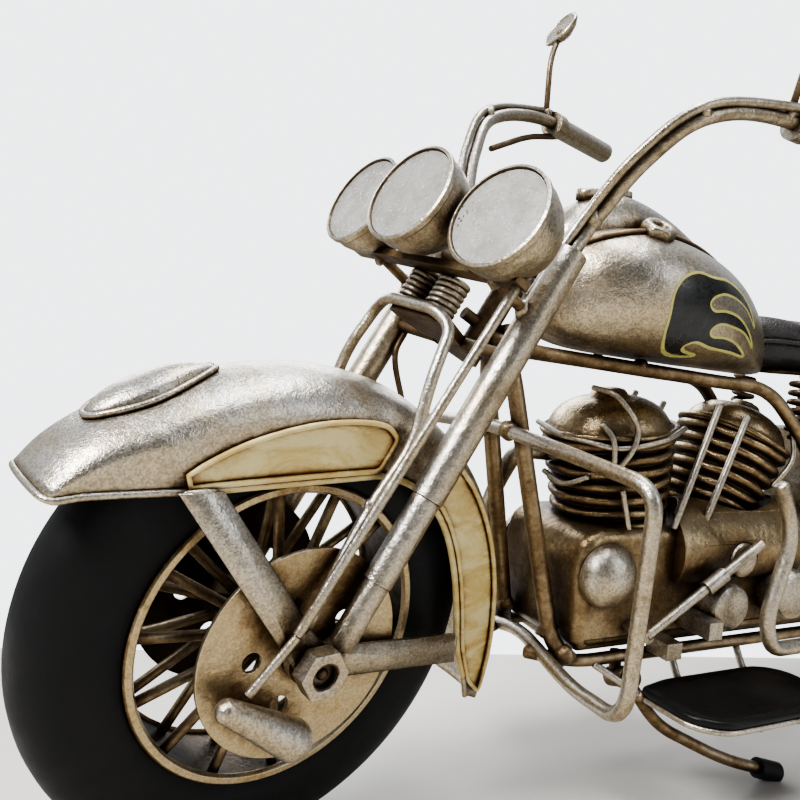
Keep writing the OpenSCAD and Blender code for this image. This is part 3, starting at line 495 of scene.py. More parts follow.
def tube(shape, path, r, place, sides=14, closed=False, round_ends=True):
    """A round rod along the path. r is a radius or a function of the share of the way along."""
    p = [Vector(q) for q in path]
    m = len(p)
    radius = r if callable(r) else lambda t: r
    heads = []
    for i in range(m):
        a = p[i - 1] if closed or i else p[0]
        b = p[(i + 1) % m] if closed or i < m - 1 else p[-1]
        heads.append((b - a).normalized())
    side = heads[0].orthogonal().normalized()
    rows = []
    for i in range(m):
        side = (side - heads[i] * side.dot(heads[i])).normalized()
        rows.append((p[i], heads[i], side.copy(), radius(i / max(m - 1, 1))))
    if not closed and round_ends:
        first, last = rows[0], rows[-1]
        cap = ((0.92, 0.38), (0.72, 0.7), (0.4, 0.9))
        front = [(first[0] - first[1] * first[3] * b * 0.6, first[1], first[2], first[3] * a) for a, b in cap]
        back = [(last[0] + last[1] * last[3] * b * 0.6, last[1], last[2], last[3] * a) for a, b in cap]
        rows = front[::-1] + rows + back
    twist = 0.0
    if closed:
        s0 = rows[0][2]
        s1 = rows[-1][2]
        twist = atan2(s1.cross(s0).dot(rows[0][1]), s1.dot(s0))
    points = []
    for i, (centre, head, s, rad) in enumerate(rows):
        w = head.cross(s)
        extra = twist * i / len(rows)
        for j in range(sides):
            t = 2 * pi * j / sides + extra
            points.append(centre + (s * cos(t) + w * sin(t)) * rad)
    if closed:
        faces = [f[::-1] for f in grid_faces(len(rows), sides, True, True)]
    else:
        faces = capped_faces(len(rows), sides, True)
    return shape.add(points, faces, place)


def both(draw):
    """Draws on the left, then mirrored on the right."""
    for flip in (Matrix.Identity(4), MIRROR):
        draw(flip)


def lathe(shape, profile, place, steps=64):
    """Turns a profile of (radius, height) about local Z."""
    points = []
    for r, z in profile:
        points += [(r * cos(t), r * sin(t), z) for t in on_circle(steps)]
    return shape.add(points, capped_faces(len(profile), steps, True), place)


def solder(shape, centre, r, place, seed, squash=(1, 1, 1)):
    """An uneven bead of solder."""
    rng = random.Random(seed)
    rings, sides = 9, 14
    shift = Vector((rng.random(), rng.random(), rng.random())) * 20
    points = []
    for i in range(rings):
        phi = pi * (i + 0.5) / rings
        for t in on_circle(sides):
            d = Vector((sin(phi) * cos(t), sin(phi) * sin(t), cos(phi)))
            k = r * (1 + 0.32 * turbulence.noise(d * 1.4 + shift))
            points.append(Vector(centre) + Vector([a * b for a, b in zip(d, squash)]) * k)
    return shape.add(points, capped_faces(rings, sides), place)


def eased(table, a):
    """Reads a table of (angle, value) with a smooth curve through its points."""
    if a <= table[0][0]:
        return table[0][1]
    for (x0, y0), (x1, y1) in zip(table, table[1:]):
        if a <= x1:
            i = table.index((x0, y0))
            before = table[max(i - 1, 0)]
            after = table[min(i + 2, len(table) - 1)]
            m0 = (y1 - before[1]) / max(x1 - before[0], 1e-6) * (x1 - x0)
            m1 = (after[1] - y0) / max(after[0] - x0, 1e-6) * (x1 - x0)
            t = (a - x0) / (x1 - x0)
            return (y0 * (2 * t ** 3 - 3 * t * t + 1) + m0 * (t ** 3 - 2 * t * t + t)
                    + y1 * (3 * t * t - 2 * t ** 3) + m1 * (t ** 3 - t * t))
    return table[-1][1]


# ---- the carried-over CAD nodes: finish, softened edges and smooth shading ----

CAD_LOOKS = {
    "tyre": ["front_tyre", "rear_tyre"],
    "front_rim": ["front_rim"],
    "rear_rim": ["rear_rim"],
    "front_discs": ["front_discs"],
    "rear_discs": ["rear_discs"],
    "dark": ["front_hub", "rear_hub", "steering_stem", "steering_head", "kick_pin"],
    "brown": ["front_spokes", "rear_spokes", "lamp_bar"],
    "fork": ["fork_legs", "fork_sleeves", "front_axle", "rear_axle"],
    "silver": ["front_axle_nuts", "rear_axle_nuts", "caliper", "grips", "mirrors", "lamp_bowls", "oil_tank",
               "brake_rod", "case_fittings"],
    "bronze": ["case_roof"],
    "glitter": ["lamp_faces"],
    "red": ["tail_lamp"],
    "pad": ["kick_tip"],
}
EDGE = {"case_roof": 0.4, "oil_tank": 0.3, "front_axle_nuts": 0.35, "rear_axle_nuts": 0.35}
PLAIN_EDGE = 0.16


def soften(obj, width):
    weld = obj.modifiers.new("weld", "WELD")
    weld.merge_threshold = 1e-6
    bevel = obj.modifiers.new("edges", "BEVEL")
    bevel.width = width * MM
    bevel.segments = 3
    bevel.limit_method = "ANGLE"
    bevel.angle_limit = radians(34)
    bevel.harden_normals = True
    bevel.use_clamp_overlap = True


def dress(name, look):
    obj = frame["nodes"][name]
    mesh = obj.data
    if "custom_normal" in mesh.attributes:
        mesh.attributes.remove(mesh.attributes["custom_normal"])
    for edge_flag in ("sharp_edge", "sharp_face"):
        if edge_flag in mesh.attributes:
            mesh.attributes.remove(mesh.attributes[edge_flag])
    mesh.polygons.foreach_set("use_smooth", [True] * len(mesh.polygons))
    mesh.materials.clear()
    mesh.materials.append(M[look])
    soften(obj, EDGE.get(name, PLAIN_EDGE))


for look, names in CAD_LOOKS.items():
    for name in names:
        dress(name, look)

# ---- fenders ----

CROWN = [(36, 66), (42, 66), (50, 64.6), (60, 62.4), (75, 60.4), (93, 59.6),
         (120, 60.2), (150, 61.2), (165, 62.2), (180, 64), (195, 67), (205, 69)]
DOME = [(36, 2.6), (55, 7.5), (90, 9.4), (118, 8), (140, 5), (205, 5)]
SKIRT = [(114, 41.2), (130, 43.8), (145, 44.6), (165, 45), (180, 46.6), (193, 50.4), (205, 60)]
PANEL_TOP = [(50, 49.6), (65, 49.2), (81, 49.2), (97, 50.4), (110, 51.6), (114, 50)]
FENDER_END = 205


def crown(a):
    return eased(CROWN, a)


def dome_h(a):
    return eased(DOME, a)


def edge_r(a):
    if a < 114:
        return min(37.6 / sin(radians(a)), crown(a) - dome_h(a) - 0.6)
    return eased(SKIRT, a)


def half_w(a):
    return FENDER_W * (0.8 + 0.2 * min(max((a - 36) / 20, 0), 1))


def skin_r(a, k):
    return crown(a) - dome_h(a) * (1 - sqrt(max(0.0, 1 - k * k)))


def polar(a, r, y):
    t = radians(a)
    return vec(r * cos(t), y, r * sin(t))


def fender(name, body, node_name, place, a0):
    rows = []
    steps = 110
    for i in range(steps + 1):
        a = FENDER_END + (a0 - FENDER_END) * i / steps
        w, side = half_w(a), skin_r(a, 1)
        wave = 0.10 * turbulence.noise(Vector((a * 0.11, 3.0, a0)))
        left = [(edge_r(a) + (side - edge_r(a)) * t / 6, -w) for t in range(6)]
        over = []
        for j in range(33):
            k = sin(pi * (j / 32 - 0.5))
            over.append((skin_r(a, k) + wave * (1 - abs(k)), k * w))
        right = [(r, -y) for r, y in left[::-1]]
        rows.append([polar(a, r, y) for r, y in left + over + right])
    columns = len(rows[0])
    shape = Shape().add([p for row in rows for p in row], grid_faces(len(rows), columns), place)
    obj = shape.piece(name, body, "silver", node_name, closed=False)
    sheet = obj.modifiers.new("sheet", "SOLIDIFY")
    sheet.thickness = SHEET * MM
    sheet.offset = -1
    return obj


def fore_outline(g, n=14):
    top = [(eased(PANEL_TOP, a) - g, a) for a in [56 + 58 * i / n for i in range(n + 1)]]
    low = [(edge_r(a) + 1.5 + g, a) for a in [113 - 58 * i / n for i in range(n + 1)]]
    return top, low


def aft_outline(g, n=16):
    top = [(crown(a) - dome_h(a) - 0.6 - g, a) for a in [134 + 69 * i / n for i in range(n + 1)]]
    low = [(edge_r(a) + 1.6 + g, a) for a in [201 - 67 * i / n for i in range(n + 1)]]
    return top, low


def panel(shape, outline, flip, place):
    """An enamelled field inside its wire border, a little crowned."""
    top, low = outline(0.2)
    low = low[::-1]
    columns = 11
    points = []
    for (r1, a1), (r0, a0) in zip(top, low):
        for j in range(columns):
            t = j / (columns - 1)
            crown_y = 0.42 * sin(pi * t) ** 0.6
            a = a0 + (a1 - a0) * t
            points.append(polar(a, r0 + (r1 - r0) * t, FENDER_W + 0.12 + crown_y))
    faces = grid_faces(len(top), columns)
    shape.add(points, faces, place @ flip)


def ring(outline):
    top, low = outline(-0.2)
    return [polar(a, r, FENDER_W + 0.75) for r, a in top + low]


def fender_trim(prefix, body, place, a0, fore, nodes, wires_node):
    panels, rings, wires = Shape(), Shape(), Shape()

    def side(flip):
        for outline in ([fore_outline] if fore else []) + [aft_outline]:
            panel(panels, outline, flip, place)
            path = bend(ring(outline), 1.2, 2)
            tube(rings, path, 0.62, place @ flip, 10, closed=True)
        first = 57 if fore else 132
        hem = [200 - (200 - first) * i / 50 for i in range(51)]
        low = [polar(a, edge_r(a), half_w(a) + 0.25) for a in hem]
        tube(rings, bend(low, 2, 2), 0.8, place @ flip, 12)
    both(side)
    border = [FENDER_END + (a0 - FENDER_END) * i / 60 for i in range(61)]
    left = [polar(a, edge_r(a), half_w(a) + 0.2) for a in border]
    lip = [polar(a0 - 0.6, skin_r(a0, k) - 0.3, k * half_w(a0)) for k in (0.86, 0.5, 0, -0.5, -0.86)]
    right = [vec(p.x, -p.y, p.z) for p in left[::-1]]
    tube(wires, bend(left + lip + right, 2.5, 3), 0.76, place, 12)
    if fore:
        ts = [0.015, 0.05, 0.12, 0.22, 0.36, 0.5, 0.64, 0.78, 0.9, 0.97]
        half = [(t, 1) for t in ts] + [(1.0, 0)] + [(t, -1) for t in ts[::-1]]
        path = []
        for t, s in half:
            a = 74 - 25 * t
            y = s * (dome_w(t) + 0.5)
            path.append(polar(a, skin_r(a, y / half_w(a)) + 0.62, y))
        tube(wires, curve(path, 4), 0.66, place, 12)
    panels.piece(prefix + "_enamel", body, "cream", *nodes, closed=False)
    rings.piece(prefix + "_enamel_wires", body, "cream")
    wires.piece(prefix + "_wires", body, "silver", wires_node)


def dome_w(t):
    return 6.2 * sin(pi * min(max(t, 0.0), 1.0) ** 1.35) ** 0.55 if 0 < t < 1 else 0.0


def dome_ornament():
    rows, columns = 40, 21
    points = []
    for i in range(rows):
        t = 0.004 + 0.992 * i / (rows - 1)
        for j in range(columns):
            k = -1 + 2 * j / (columns - 1)
            a, y = 74 - 25 * t, k * dome_w(t)
            rise = 3.4 * sqrt(max(0.0, 1 - k * k)) ** 0.8 * sqrt(sin(pi * t))
            points.append(polar(a, skin_r(a, y / half_w(a)) + 0.02 + rise, y))
    faces = [list(reversed(f)) for f in grid_faces(rows, columns)]
    Shape().add(points, faces, FRONT).piece(
        "fender_ornament", "steering", "silver", "fender_dome", closed=False
    )


fender("front_fender_sheet", "steering", "front_fender", FRONT, 36)
fender("rear_fender_sheet", "frame", "rear_fender", REAR, 56)
fender_trim("front_fender", "steering", FRONT, 36, True, ["front_panels"], "front_beads")
fender_trim("rear_fender", "frame", REAR, 56, False, ["rear_panels"], "rear_beads")
dome_ornament()

# ---- steering: bars, wires, springs ----

bar_path = [fork_pt(0, LEG_Y, 106), vec(-62, 22.6, 97.5), vec(-68.4, 29.2, 112.6), vec(-79, 35.6, 123.8),
            vec(-103, 39, 127.4), vec(-139, 45.6, 123)]
strand_path = [vec(-49, 19.6, 79.6), vec(-58.4, 22.4, 97.6), vec(-65, 29.4, 113.6), vec(-77, 36.2, 126),
               vec(-102.6, 40.6, 130.2), vec(-110.4, 42.2, 129.4)]
grip_dir = (bar_path[5] - bar_path[4]).normalized()
collar = bar_path[5] - grip_dir * 31


def handlebar_pieces():
    bars, rods = Shape(), Shape()

    def side(flip):
        tube(bars, curve(bar_path, 12), 1.8, FRONT @ flip, 16)
        tube(bars, curve(strand_path, 12), 1.1, FRONT @ flip, 12)
        mirror_stalk = [bar_path[4] + vec(-1, 1, 2.2), vec(-104, 42, 146), vec(-110, 45.4, 154)]
        tube(rods, bend(mirror_stalk, 7, 8), 0.9, FRONT @ flip)
        solder(rods, bar_path[4] + vec(-1, 1, 2.0), 1.5, FRONT @ flip, 3)
        solder(rods, vec(-110.4, 45.6, 154.4), 1.5, FRONT @ flip, 4)
    both(side)
    right_lever = [collar + vec(0, 0, -3.4), vec(-96, 37.6, 121.6), vec(-79, 34.6, 115.4)]
    left_lever = [collar + vec(0, 3.4, 0), vec(-116, 50, 122), vec(-133, 53, 119)]
    tube(rods, bend(right_lever, 8, 8), 0.9, FRONT @ MIRROR)
    tube(rods, bend(left_lever, 8, 8), 0.9, FRONT)
    wire = [vec(-40, 10, 80), vec(-44, 17, 66), vec(-41, 16.8, 58), vec(-45, 16.4, 46), vec(-47, 14.6, 38)]
    tube(rods, curve(wire, 10), 0.8, FRONT @ MIRROR)
    bars.piece("handlebar_tubes", "steering", "fork", "handlebars")
    rods.piece("control_wires", "steering", "dark", "control_rods")


def hoop_piece():
    left = [vec(2, 22, 9), vec(-12.5, 18.8, 32), vec(-23, 18, 46), vec(-25.6, 17, 59), vec(-31.6, 14.4, 70.8),
            vec(-30.6, 9, 74)]
    right = [vec(p.x, -p.y, p.z) for p in left[::-1]]
    shape = tube(Shape(), bend(left + right, 6, 8), 1.4, FRONT, 16)
    shape.piece("springer_wire", "steering", "fork", "springer_hoop")


def helix(radius, height, wire, turns, steps=26):
    n = int(turns * steps)
    return [
        vec(radius * cos(2 * pi * i / steps), radius * sin(2 * pi * i / steps),
            wire + (height - 2 * wire) * i / n)
        for i in range(n + 1)
    ]


def stay(shape, start, end, radius, thick, cut, place, steps=16):
    """A flat bar, round about the axle and cut off straight at the fender."""
    along = Vector((end.x - start.x, 0, end.z - start.z)).normalized()
    turn = atan2(along.z, along.x)
    side = vec(-along.z, 0, along.x)
    cut = Vector(cut).normalized()
    slant = cut * (radius / abs(cut.dot(side)))
    outline = []
    for i in range(steps + 1):
        t = turn + pi / 2 + pi * i / steps
        outline.append(start + vec(radius * cos(t), 0, radius * sin(t)))
    sign = 1 if slant.dot(side) > 0 else -1
    outline += [end - slant * sign, end + slant * sign]
    middle = (start + end) / 2
    n = len(outline)
    rows = []
    for inset, y in ((0.2, -thick), (0, 0.2 - thick), (0, -0.2), (0.2, 0)):
        for p in outline:
            rows.append(p + (middle - p).normalized() * inset + vec(0, y, 0))
    shape.add(rows, capped_faces(4, n), place)


def stay_pieces():
    shape = Shape()

    def side(flip):
        stay(shape, vec(0, 24, 0), vec(25.6, 17.4, 38.2), 3.7, 1.1, (1, 0, 0.05), FRONT @ flip)
        stay(shape, vec(0, 22.9, 0), vec(-44.6, 18.3, -8), 3.6, 1.1, (0.2, 0, 1), FRONT @ flip)
        solder(shape, vec(25.6, 16.6, 38), 1.7, FRONT @ flip, 41, (2.0, 0.5, 0.5))
        solder(shape, vec(-44.8, 17.4, -8), 1.7, FRONT @ flip, 42, (0.5, 0.5, 2.0))
    both(side)
    shape.piece("fender_bars", "steering", "silver", "front_stays")


def fork_spring_piece():
    shape = Shape()

    def side(flip):
        stand = Matrix.Translation(fork_pt(11.2, 5.2, 79.8)) @ Matrix.Rotation(-RAKE, 4, "Y")
        tube(shape, helix(3.2, 10.4, 0.8, 6), 0.82, FRONT @ flip @ stand, 12)
    both(side)
    shape.piece("fork_coils", "steering", "fork", "fork_springs")


handlebar_pieces()
hoop_piece()
fork_spring_piece()
stay_pieces()

# ---- frame: rods and tubes ----

def mirrored_rods(name, look, node_name, body, *rods, corner=8):
    shape = Shape()

    def side(flip):
        for path, r in rods:
            tube(shape, bend(path, corner, 8), r, UPRIGHT @ flip, 16)
    both(side)
    return shape.piece(name, body, look, node_name)


def closed_half(half):
    return [Vector(p) for p in half] + [vec(p[0], -p[1], p[2]) for p in half[-2:0:-1]]


def frame_pieces():
    mirrored_rods("upper_rails", "brown", "top_rails", "frame", ([
        (-56, 3.2, 121), (-65, 7.6, 118.4), (-98, 9, 115.5), (-125, 11, 113), (-141, 13.2, 112),
        (-154.6, 15, 98), (-166, 20.4, 74), (-170, 20.4, 43)], 1.9))
    mirrored_rods("front_downtubes", "brown", "down_tubes", "frame", ([
        (-60.2, 2.6, 123.6), (-59.6, 4.6, 117.6), (-61, 6.4, 110.4), (-75.2, 11, 46),
        (-77.4, 14.4, 41)], 2.2), corner=6)
    mirrored_rods("lower_rails", "brown", "base_rails", "frame", ([
        (-70, 9, 41), (-80, 16, 40), (-186, 16, 40), (-198, 18, 41)], 1.7))
    guard = Shape()
    half = [(-73.4, 0, 43.6), (-72, 25.6, 38.6), (-68, 50, 41.4), (-66.4, 54.6, 94), (-65, 40, 95.4),
            (-60.4, 8, 98.4), (-60.2, 0, 98.6)]
    loop = closed_half(half)
    start = (loop[0] + loop[1]) / 2
    turned = bend([start] + loop[1:] + [loop[0], start], 9, 10)
    tube(guard, turned[:-1], 1.8, UPRIGHT, 16, closed=True)
    side_loop = [(-125, 35, 89), (-131.4, 35, 76), (-125, 35, 54), (-128, 35, 45.6), (-168, 33, 44.6),
                 (-182, 18, 40.4)]
    tube(guard, bend(side_loop, 7, 8), 2.0, UPRIGHT, 16)
    guard.piece("guard_tube", "frame", "fork", "guard_rods")


frame_pieces()


def rear_pieces():
    lower = [(-194, 17, 41), (-214, 21, 46), (-268, 21.6, 54)]
    upper = [(-161, 18, 84), (-182, 18.4, 83), (-214, 21, 76), (-268, 21.6, 57)]
    shape = Shape()

    def side(flip):
        for path in (lower, upper):
            tube(shape, bend(path, 8, 8), 2.0, UPRIGHT @ flip, 16)
        plate(shape, vec(0, 20.4, 0), 5.2, vec(9, 20.4, 0), 4.0, 2.5, REAR @ flip)
        plate(shape, vec(0, 22.9, 0), 3.9, vec(-30, 17.2, 32), 2.4, 1.2, REAR @ flip)
    both(side)
    shape.piece("rear_stays", "frame", "brown", "rear_tubes")


def plate(shape, a, ra, b, rb, thick, place, steps=20):
    """A flat link with round ends, its inner face through a and b, thick towards +Y."""
    along = Vector((b.x - a.x, 0, b.z - a.z))
    turn = atan2(along.z, along.x)
    outline = []
    for i in range(steps + 1):
        t = turn + pi / 2 + pi * i / steps
        outline.append((a + vec(ra * cos(t), 0, ra * sin(t)), a))
    for i in range(steps + 1):
        t = turn - pi / 2 + pi * i / steps
        outline.append((b + vec(rb * cos(t), 0, rb * sin(t)), b))
    n = len(outline)
    soft = min(0.3, thick * 0.3)
    rows = []
    for inset, y in ((soft, 0), (0, soft), (0, thick - soft), (soft, thick)):
        for p, centre in outline:
            d = (centre - p).normalized() * inset
            rows.append(p + d + vec(0, y, 0))
    shape.add(rows, capped_faces(4, n), place)


ENGINE_WIRES = [
    [(-85, 7, 110), (-86.4, 14, 109), (-89, 17.4, 105), (-91.3, 18.4, 100.6), (-90.2, 18.4, 95.4),
     (-87.5, 16.6, 90)],
    [(-78.4, -7, 99), (-79, 3, 97), (-82, 10.6, 96.4), (-88, 16.8, 95.6), (-99.5, 19, 98), (-110, 15, 100.6)],
    [(-84.6, 13, 101), (-86, 15.8, 97.6), (-86.7, 16.2, 92)],
    [(-89.5, 17.1, 84.5), (-91.8, 18, 75)],
    [(-79.4, -3.6, 86), (-80.2, 4.5, 84.2), (-83, 10.6, 87)],
    [(-146, 14, 84), (-151, 15.6, 92), (-152, 13, 101)],
]


def engine_wire_pieces():
    wires = Shape()
    for path in ENGINE_WIRES:
        tube(wires, curve(path, 8), 0.75, UPRIGHT, 12)
    for a, b in (((-106.6, 18.4, 74.8), (-119.6, 16.8, 107)), ((-117.6, 17.8, 74.8), (-130.6, 16.4, 104))):
        for flip in (Matrix.Identity(4), MIRROR):
            tube(wires, [vec(*a), vec(*b)], 0.9, UPRIGHT @ flip, 12)
    wires.piece("engine_wiring", "frame", "silver", "engine_wires")


MUFFLER = [(2.0, 0), (2.8, 0.4), (3.0, 2), (5, 8), (5.25, 11), (5.25, 20), (5.05, 21), (5.05, 22), (5.25, 23),
           (5.25, 88), (5.05, 89), (5.05, 90), (5.2, 92), (4.2, 98), (3.1, 106), (3, 110), (3.4, 119),
           (5, 133.4), (4.8, 134.3), (4.3, 133.8), (2.6, 112), (0.02, 108)]


BARREL_R, BARREL_H, FINS = 18.4, 25.6, 7
BARREL_STANDS = (
    Matrix.Translation((-99.6, 0, 72.6)) @ Matrix.Rotation(radians(6), 4, "Y"),
    Matrix.Translation((-132.6, 0, 72.4)) @ Matrix.Rotation(radians(-24), 4, "Y")
    @ Matrix.Diagonal((0.88, 0.9, 1, 1)),
)
HEAD = [(17.6, 0), (18.0, 0.4), (18.0, 0.9), (17.5, 1.5), (16.7, 2), (16.4, 2.9), (15.8, 4), (14.9, 5.4),
        (13.6, 6.8), (12.0, 7.9), (10.2, 8.8), (8, 9.5), (6, 9.8), (5.3, 10.1), (4.8, 10.9), (4.2, 11.6),
        (3, 11.95), (0.02, 12)]
FIN = ((0.04, 2.3), (0.12, 1.5), (0.22, 0.5), (0.36, 0.08), (0.5, 0), (0.64, 0.08), (0.78, 0.5), (0.88, 1.5),
       (0.96, 2.3))


def barrel_pieces():
    """Barrels that widen upwards, with fins uneven as if beaten by hand, under low domed heads."""
    barrels, heads = Shape(), Shape()
    pitch = BARREL_H / FINS
    for k_barrel, stand in enumerate(BARREL_STANDS):
        steps = 120
        profile = []
        for k in range(FINS):
            r = BARREL_R - 2.6 + 2.6 * k / (FINS - 1)
            for share, dip in FIN:
                profile.append((r - dip, pitch * (k + share), k, 1 - dip / 2.3))
        points = []
        for r, z, k, out in profile:
            for t in on_circle(steps):
                seed = vec(cos(t) * 1.3, sin(t) * 1.3, k * 5.0 + 40 * k_barrel)
                wave = 0.55 * turbulence.noise(seed) * out
                sag = 0.75 * turbulence.noise(seed * 1.4 + vec(9, 0, 0))
                out_r = r + wave - 0.25
                points.append(vec(out_r * cos(t), out_r * sin(t), z + sag * 0.6))
        barrels.add(points, capped_faces(len(profile), steps, True), UPRIGHT @ stand)
        lathe(heads, [(r, z + BARREL_H - 0.6) for r, z in HEAD], UPRIGHT @ stand, 96)
        collar = [
            vec(18.0 * cos(t), 18.0 * sin(t), BARREL_H + 0.7 + 0.3 * sin(3 * t))
            for t in on_circle(72)
        ]
        tube(heads, collar, 0.8, UPRIGHT @ stand, 12, closed=True)
    barrels.piece("engine_barrels", "frame", "engine", "barrels")
    heads.piece("engine_heads", "frame", "engine", "barrel_heads")


def rounded_slab(shape, outline, half, edge, place):
    """A closed outline in X and Z, half thick on both sides of the middle plane, with rounded edges."""
    n = len(outline)
    normals = []
    for i, p in enumerate(outline):
        d = (outline[(i + 1) % n] - outline[i - 1]).normalized()
        normals.append(vec(-d.z, 0, d.x))
    middle = sum(outline, Vector()) / n
    if normals[0].dot(middle - outline[0]) < 0:
        normals = [-v for v in normals]
    steps = 7
    levels = [(edge * (1 - cos(a)), half - edge + edge * sin(a)) for a in
              [pi / 2 * i / steps for i in range(steps + 1)]]
    rows = [(inset, -y) for inset, y in levels[::-1]] + levels
    points = [p + v * inset + vec(0, y, 0) for inset, y in rows for p, v in zip(outline, normals)]
    shape.add(points, capped_faces(len(rows), n), place)


def crankcase_piece():
    side = [(-78.4, 45), (-77, 66), (-79, 72.4), (-84, 74.6), (-150, 74.6), (-186, 72), (-191, 66),
            (-191, 48),
            (-187, 42.6), (-80.4, 42.6)]
    loop = [vec(x, 0, z) for x, z in side]
    start = (loop[-1] + loop[0]) / 2
    outline = bend([start] + loop + [start], 4.5, 5)[:-1]
    shape = Shape()
    rounded_slab(shape, outline, 18, 3.2, UPRIGHT)
    shape.piece("engine_case", "frame", "bronze", "crankcase")


def exhaust_pieces():
    shape = Shape()
    runs = [
        [(-82, -6, 90.6), (-73, -8, 91.2), (-72.4, -19, 75.6), (-75, -27, 56), (-88, -28, 40.4),
         (-196, -28, 39.4)],
        [(-128, -17, 90), (-118, -24, 86), (-114, -30.6, 64), (-126, -34, 51), (-196, -36, 49.8)],
    ]
    for path in runs:
        tube(shape, bend(path, 9, 10), 2.3, UPRIGHT, 20)
        end = vec(*path[-1]) + vec(2, 0, 0)
        stand = Matrix.Translation(end) @ Matrix.Rotation(radians(-88), 4, "Y")
        lathe(shape, MUFFLER, UPRIGHT @ stand, 56)
    shape.piece("exhaust_pipes", "frame", "fork", "exhausts")


PAD_OUTLINE = [(-97, 23), (-107, 20.6), (-140, 20.6), (-146, 26), (-146, 40), (-138, 45.6), (-104, 45.6),
               (-98, 40)]
PAD_EDGE = ((0.7, 32.2), (-0.3, 32.3), (-0.55, 32.7), (-0.55, 33.5), (-0.3, 33.95), (0.2, 34.15), (0.8, 34.1),
            (1.3, 33.85))


def footboard_pieces():
    wires, pads = Shape(), Shape()
    loop = [vec(x, y, 31.4) for x, y in PAD_OUTLINE]
    start = (loop[0] + loop[1]) / 2
    border = bend([start] + loop[1:] + [loop[0], start], 4, 7)[:-1]
    middle = vec(-121, 33, 0)

    def inset(k):
        out = []
        for i, p in enumerate(border):
            a, b = border[i - 1], border[(i + 1) % len(border)]
            d = (b - a).normalized()
            n = vec(-d.y, d.x, 0)
            if n.dot(middle - p) < 0:
                n = -n
            out.append(p + n * k)
        return out

    def side(flip):
        tube(wires, border, 0.8, UPRIGHT @ flip, 12, closed=True)
        for x in (-113, -137):
            rod = bend([(x, 15.4, 38.8), (x, 20, 31), (x - 3, 45, 30.8)], 4, 6)
            tube(wires, rod, 1.0, UPRIGHT @ flip, 12)
        tube(wires, [vec(-86, 17, 39), vec(-97, 23.4, 31.8)], 1.0, UPRIGHT @ flip, 12)
        points = []
        for k, z in PAD_EDGE:
            points += [vec(p.x, p.y, z) for p in inset(k)]
        inner = inset(1.3)
        steps = [0.12 * i for i in range(1, 9)]
        for t in steps:
            for p in inner:
                q = p.lerp(middle, t)
                points.append(vec(q.x, q.y, 33.78 + 0.16 * turbulence.noise(vec(q.x * 0.09, q.y * 0.09, 1))))
        n = len(border)
        rings = len(PAD_EDGE) + len(steps)
        pads.add(points, capped_faces(rings, n), UPRIGHT @ flip)
    both(side)
    wires.piece("footboard_rods", "frame", "fork", "footboard_wires")
    pads.piece("footboard_rubbers", "frame", "pad", "footboard_pads")


def kick_piece():
    leg = bend([(-1.4, 1.8, 0), (-8, 13, 0), (-30, 25, 0), (-46, 30.2, 0)], 9, 10)
    shape = tube(Shape(), leg, 1.6, KICK, 16)
    eye = [(0.9, -1.3), (2.5, -1.6), (2.9, -1.2), (3, -0.6), (3, 0.6), (2.9, 1.2), (2.5, 1.6), (0.9, 1.3)]
    lathe(shape, eye, KICK, 32)
    solder(shape, vec(-1.8, 2.6, 0), 1.9, KICK, 21)
    shape.piece("stand_leg", "kickstand", "brown", "kick_leg")


rear_pieces()
engine_wire_pieces()
barrel_pieces()
crankcase_piece()
exhaust_pieces()
footboard_pieces()
kick_piece()

# ---- tank, console and seat ----

TANK = [(-67, 3.4, 128, 138), (-69, 7.6, 124.6, 142.6), (-73, 12.4, 121.8, 147), (-79, 17.8, 120, 150.4),
        (-87, 22, 118.8, 152), (-96, 23.8, 118, 152), (-106, 23.6, 117.2, 150.6), (-116, 21.6, 116.4, 148),
        (-126, 17.6, 115.8, 144), (-135, 12.8, 115.2, 138.6), (-143, 8, 114.8, 131.6),
        (-148.6, 3.4, 115, 123)]
CONSOLE = [(-70, 3, 142, 146), (-73, 6.4, 141, 152.4), (-80, 8.4, 142, 157.6), (-90, 8.8, 142, 160.4),
           (-98, 8, 141, 159.4), (-108, 6.6, 140, 156), (-118, 5, 138, 151), (-127, 3.6, 136, 146),
           (-131, 2, 135, 142)]
SEAT = [(-141, 3, 119, 129), (-143, 5.4, 118, 131), (-148, 7.8, 117.4, 132.4), (-156, 10.6, 117, 132),
        (-166, 15, 117, 130.4), (-177, 20, 117.2, 129.8), (-189, 24, 117.6, 131.4), (-200, 25, 118, 134.8),
        (-208, 23, 118.6, 137), (-213, 17, 120.4, 136), (-215.4, 10, 124, 132.6)]


def column(table, i):
    return [(-row[0], row[i]) for row in table]


def signed_power(c, e):
    return copysign(abs(c) ** e, c)


def loft(table, exponent, rows, columns, lift=None):
    """A body through oval sections: points row by row, from front to back."""
    x0, x1 = -table[0][0], -table[-1][0]
    points = []
    for i in range(rows):
        t = 0.5 - 0.5 * cos(pi * i / (rows - 1))
        x = x0 + (x1 - x0) * t
        half, low, high = section(table, x)
        for a in on_circle(columns):
            c, s = signed_power(cos(a), exponent), signed_power(sin(a), exponent)
            p = vec(-x, half * c, (low + high) / 2 + (high - low) / 2 * s)
            points.append(p + lift(p, x, a) if lift else p)
    faces = grid_faces(rows, columns, False, True)
    faces.append(list(range(columns)))
    faces.append([(rows - 1) * columns + j for j in range(columns)][::-1])
    return points, [list(reversed(f)) for f in faces]


